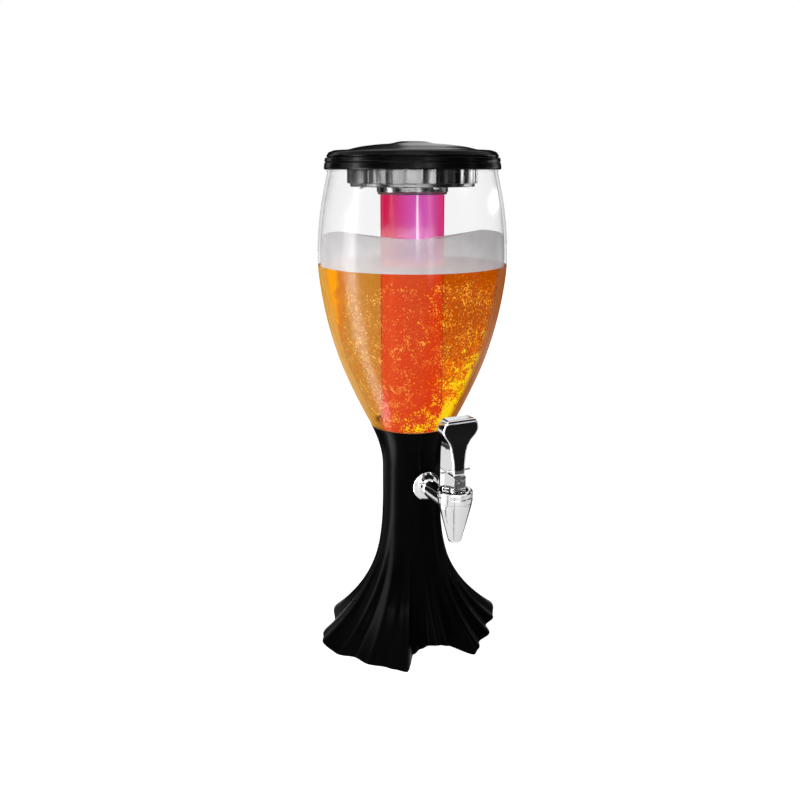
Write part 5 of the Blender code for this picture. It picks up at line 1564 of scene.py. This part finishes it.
class TOWER_OT_lever(bpy.types.Operator):
    """Adds the chrome lever and the black plate in its face"""

    bl_idname = "tower.lever"
    bl_label = "Lever"

    def execute(self, context):
        rows = [lever_row(0.0, 2 * EDGE), lever_row(0.006, FINE_EDGE)]
        rows += [lever_row(share) for share in spread(0.02, 0.975, 44)]
        rows += [lever_row(0.988, FINE_EDGE), lever_row(0.996, 2 * EDGE), lever_row(1.0, 0.0013)]
        lever = loft("lever", rows)
        cut(lever, insert_block("pocket", GAP, OVERRUN))
        half_slot = HEAD_WIDTH / 2 + GAP
        bore(lever, SLOT_RADIUS, -half_slot, half_slot, axis=PIN_AXIS)
        bore(lever, PIN_RADIUS + GAP, -PIN_LENGTH / 2, PIN_LENGTH / 2, TINY_ROUND, PIN_AXIS)
        fit(lever, "lever", "lever", "tap_chrome")
        fit(insert_block("lever_insert", 0.0, INSERT_PROUD), "lever_insert", "lever", "lever_black")
        return {"FINISHED"}


# Light unit

def add_contact(name, body, hole, bottom):
    """A thin sprung ring that joins the cells' ends."""
    turned_piece(name, body, "screw_steel", ring_outline(hole, CONTACT_RADIUS, bottom, bottom + CONTACT_THICKNESS),
                 MIDDLE_ROUND, corner=THIN_EDGE)


class TOWER_OT_light(bpy.types.Operator):
    """Adds the light unit under the ledge: housing, lens, board, diodes, upper contact and screws"""

    bl_idname = "tower.light"
    bl_label = "Light unit"

    def execute(self, context):
        shelf = BOARD_BOTTOM - GAP
        housing = revolve("light_housing", [
            (FLANGE_RADIUS, HOUSING_TOP), (FLANGE_RADIUS, FLANGE_BOTTOM), (HOUSING_RADIUS, FLANGE_BOTTOM),
            (HOUSING_RADIUS, HOUSING_BOTTOM), (BATTERY_BORE, HOUSING_BOTTOM), (BATTERY_BORE, shelf),
            (HOUSING_BORE, shelf), (HOUSING_BORE, HOUSING_TOP),
        ], MIDDLE_ROUND, corner=EDGE)
        for number, place in numbered(3, HOUSING_SCREW_CIRCLE, start=60):
            bore(housing, HOUSING_SCREW_RADIUS + GAP, FLANGE_BOTTOM - OVERRUN, HOUSING_TOP + OVERRUN, TINY_ROUND,
                 axis_at(place))
            add_screw(f"housing_screw_{number}", (*place[:2], FLANGE_BOTTOM - GAP), HOUSING_SCREW_RADIUS,
                      LEDGE_TOP - FLANGE_BOTTOM, HOUSING_SCREW_HEAD, "tower")
        fit(housing, "light_housing", "tower", "holder_black")
        flange_top = LENS_BOTTOM + LENS_FLANGE_THICKNESS
        radius = WINDOW_RADIUS - GAP
        turned_piece("light_lens", "tower", "lens_clear", [
            (0, flange_top + LENS_RISE), (radius - LENS_RISE, flange_top + LENS_RISE, LENS_EDGE),
            (radius, flange_top + LENS_RISE / 2), (radius, flange_top), (LENS_FLANGE_RADIUS, flange_top),
            (LENS_FLANGE_RADIUS, LENS_BOTTOM), (0, LENS_BOTTOM),
        ], MIDDLE_ROUND)
        turned_piece("circuit_board", "tower", "board_green",
                     disc_outline(HOUSING_BORE - GAP, BOARD_BOTTOM, BOARD_TOP), MIDDLE_ROUND, corner=FINE_EDGE)
        straight = LED_HEIGHT - LED_RADIUS
        dome = [
            (LED_RADIUS * math.cos(math.radians(angle)), straight + LED_RADIUS * math.sin(math.radians(angle)))
            for angle in spread(90, 0, 8)
        ]
        for number, place in numbered(4, LED_CIRCLE, BOARD_TOP + GAP, 45):
            turned_piece(f"led_{number}", "tower", "diode_light", [*dome, (LED_RADIUS, 0), (0, 0)], TINY_ROUND,
                         axis_at(place), corner=0.0)
        add_contact("upper_contact", "tower", UPPER_CONTACT_HOLE, UPPER_CONTACT_BOTTOM)
        return {"FINISHED"}


class TOWER_OT_batteries(bpy.types.Operator):
    """Adds the three cells of the light unit"""

    bl_idname = "tower.batteries"
    bl_label = "Batteries"

    def execute(self, context):
        nub_top = BATTERY_LENGTH + BATTERY_NUB_HEIGHT
        for number, place in numbered(3, BATTERY_CIRCLE, BATTERY_BOTTOM):
            turned_piece(f"battery_{number}", "tower", "cell_sleeve", [
                (0, nub_top), (BATTERY_NUB_RADIUS, nub_top), (BATTERY_NUB_RADIUS, BATTERY_LENGTH),
                (BATTERY_RADIUS, BATTERY_LENGTH), (BATTERY_RADIUS, 0), (0, 0),
            ], SMALL_ROUND, axis_at(place))
        return {"FINISHED"}


class TOWER_OT_cover(bpy.types.Operator):
    """Adds the battery cover, its contact and the switch button"""

    bl_idname = "tower.cover"
    bl_label = "Battery cover and button"

    def execute(self, context):
        hole = BUTTON_RADIUS + RUNNING_GAP / 2
        pocket = BUTTON_RADIUS + BUTTON_FLANGE + GAP
        cover = revolve("battery_cover", [
            (BATTERY_BORE - GAP, COVER_TOP), (BATTERY_BORE - GAP, HOUSING_BOTTOM - GAP),
            (HOUSING_RADIUS, HOUSING_BOTTOM - GAP), (HOUSING_RADIUS, COVER_BOTTOM, BUTTON_FLANGE),
            (hole, COVER_BOTTOM), (hole, BUTTON_SHELF - GAP), (pocket, BUTTON_SHELF - GAP), (pocket, COVER_TOP),
        ], MIDDLE_ROUND, corner=FINE_EDGE)
        half = COIN_SLOT_WIDTH / 2
        for side in (-1, 1):
            near, far = sorted((side * (hole + COIN_SLOT_WIDTH), side * (HOUSING_RADIUS - COIN_SLOT_WIDTH)))
            cut(cover, block("slot", (near, AXIS_Y - half, COVER_BOTTOM - OVERRUN),
                             (far, AXIS_Y + half, COVER_BOTTOM + COIN_SLOT_DEPTH)))
        fit(cover, "battery_cover", "cover", "holder_black")
        add_contact("lower_contact", "cover", LOWER_CONTACT_HOLE, LOWER_CONTACT_BOTTOM)
        shoulder = BUTTON_RADIUS + BUTTON_FLANGE - GAP
        shelf_top = BUTTON_SHELF + BUTTON_FLANGE_THICKNESS
        tip = COVER_BOTTOM - BUTTON_PROUD
        turned_piece("switch_button", "button", "soft_rubber", [
            (0, shelf_top), (shoulder, shelf_top), (shoulder, BUTTON_SHELF), (BUTTON_RADIUS, BUTTON_SHELF),
            (BUTTON_RADIUS, tip, 2 * SOFT_EDGE), (0, tip),
        ], SMALL_ROUND, corner=FINE_EDGE)
        return {"FINISHED"}


# Studio

def add_lamp(name, place, width, height, power):
    """A soft light of a size, turned towards the tower's middle."""
    pick()
    bpy.ops.object.light_add(type="AREA", location=place)
    lamp = bpy.context.object
    lamp.name = name
    lamp.data.shape = "RECTANGLE"
    lamp.data.size = width
    lamp.data.size_y = height
    lamp.data.energy = power
    lamp.rotation_euler = (Vector(LAMP_AIM) - Vector(place)).to_track_quat("-Z", "Y").to_euler()


def add_card(name, place, turn, width, height, strength, tilt=90):
    """A card that only mirrors see, for the streaks in chrome and gloss. Its turn is in degrees round Z."""
    pick()
    bpy.ops.mesh.primitive_plane_add(size=1, location=place)
    card = new_object(name)
    card.scale = (width, height, 1)
    card.rotation_euler = (math.radians(tilt), 0, math.radians(turn))
    seat_mesh(card)
    card.visible_camera = False
    card.visible_diffuse = False
    card.visible_shadow = False
    card.visible_transmission = False
    card.data.materials.append(make_material(name, Finish.light, strength))


def floor_white(finish):
    """White to the eye and pale in mirrors, see-through from below, and it keeps the tower's shadow."""
    pale = finish.principled(Base_Color=(0.82, 0.82, 0.82), Roughness=0.6, Specular_IOR_Level=0.2)
    path = finish.node("LightPath")
    seen = finish.field(path, "Is Camera Ray").most(finish.field(path, "Is Transmission Ray"))
    seen = seen.most(0.36 * finish.field(path, "Is Glossy Ray"))
    lift = finish.mix(seen, finish.light(0.0), finish.light(0.74))
    both = finish.node("AddShader", {0: pale.outputs[0], 1: lift.outputs[0]})
    return finish.mix(finish.field(finish.node("NewGeometry"), "Backfacing"), both, finish.clear(1, 1, 1))


def sky_white(finish):
    """White wherever it is seen, softer as a light."""
    path = finish.node("LightPath")
    seen = finish.field(path, "Is Camera Ray").most(finish.field(path, "Is Glossy Ray"))
    seen = seen.most(finish.field(path, "Is Transmission Ray"))
    return finish.node("Background", {"Color": (1, 1, 1), "Strength": 0.38 + 0.62 * seen})


class TOWER_OT_studio(bpy.types.Operator):
    """Adds the floor, the lights, the cards for mirrors and the camera"""

    bl_idname = "tower.studio"
    bl_label = "Studio"

    def execute(self, context):
        studio = context.scene.tower_studio
        pick()
        bpy.ops.mesh.primitive_plane_add(size=FLOOR_SIZE, location=(0, 0, FLOOR_HEIGHT))
        floor = seat_mesh(new_object("floor"))
        floor.data.materials.append(make_material("studio_floor", floor_white))

        world = bpy.data.worlds.new("studio")
        context.scene.world = world
        sky = Finish(world, "OutputWorld")
        sky.done(sky_white(sky))

        for name, place, width, height, power in LAMPS:
            add_lamp(name, place, width, height, getattr(studio, power))
        (toward_x, toward_y), (right_x, right_y) = TOWARDS_EYE, RIGHT_OF_TAP
        for name, toward, right, turn, width, depth, strength in TAP_CARDS:
            x, y = toward * toward_x + right * right_x, TAP_Y + toward * toward_y + right * right_y
            add_card(name, (x, y, TAP_CARD_HEIGHT), VIEW_TURN + turn, width, depth, strength, tilt=0)
        for name, azimuth, reach, height, width, tall, strength, tilt in ROUND_CARDS:
            turn = VIEW_TURN + azimuth
            add_card(name, around(turn, reach, height), turn, width, tall, strength, tilt)
        for name, azimuth, width in DARK_CARDS:
            turn = VIEW_TURN + azimuth
            add_card(name, around(turn, DARK_REACH, DARK_HEIGHT), turn, width, DARK_TALLNESS, DARK_LIGHT)

        camera_data = bpy.data.cameras.new("camera")
        camera = bpy.data.objects.new("camera", camera_data)
        context.scene.collection.objects.link(camera)
        camera.location = CAMERA_PLACE
        camera.rotation_euler = (math.radians(CAMERA_TILT), 0, math.radians(CAMERA_TURN))
        camera_data.lens = studio.lens
        camera_data.sensor_width = 36
        camera_data.shift_y = CAMERA_SHIFT
        camera_data.clip_start = 0.01
        context.scene.camera = camera
        context.scene.view_settings.view_transform = "Standard"
        return {"FINISHED"}


PIECES = (
    TOWER_OT_base, TOWER_OT_vessel, TOWER_OT_drink, TOWER_OT_lid, TOWER_OT_holder, TOWER_OT_cap, TOWER_OT_tube,
    TOWER_OT_tap_fixings, TOWER_OT_tap_body, TOWER_OT_bonnet, TOWER_OT_plunger, TOWER_OT_lever, TOWER_OT_light,
    TOWER_OT_batteries, TOWER_OT_cover, TOWER_OT_studio,
)


class TOWER_PT_tower(bpy.types.Panel):
    """Lists the sizes, the colours and the pieces"""

    bl_idname = "TOWER_PT_tower"
    bl_label = "Beer tower"
    bl_space_type = "VIEW_3D"
    bl_region_type = "UI"
    bl_category = "Tower"

    def draw(self, context):
        layout = self.layout
        for title, group in (
            ("Sizes", context.scene.tower_sizes), ("Colours", context.scene.tower_colours),
            ("Studio", context.scene.tower_studio),
        ):
            layout.label(text=title)
            for key in type(group).__annotations__:
                layout.prop(group, key)
        layout.label(text="Pieces")
        for piece in PIECES:
            layout.operator(piece.bl_idname)


CLASSES = (TowerSizes, TowerColours, TowerStudio, *PIECES, TOWER_PT_tower)


def register():
    for item in CLASSES:
        bpy.utils.register_class(item)
    bpy.types.Scene.tower_sizes = bpy.props.PointerProperty(type=TowerSizes)
    bpy.types.Scene.tower_colours = bpy.props.PointerProperty(type=TowerColours)
    bpy.types.Scene.tower_studio = bpy.props.PointerProperty(type=TowerStudio)


def unregister():
    del bpy.types.Scene.tower_studio
    del bpy.types.Scene.tower_colours
    del bpy.types.Scene.tower_sizes
    for item in reversed(CLASSES):
        bpy.utils.unregister_class(item)


def main():
    register()
    for piece in PIECES:
        group, name = piece.bl_idname.split(".")
        getattr(getattr(bpy.ops, group), name)()


if __name__ == "__main__":
    main()
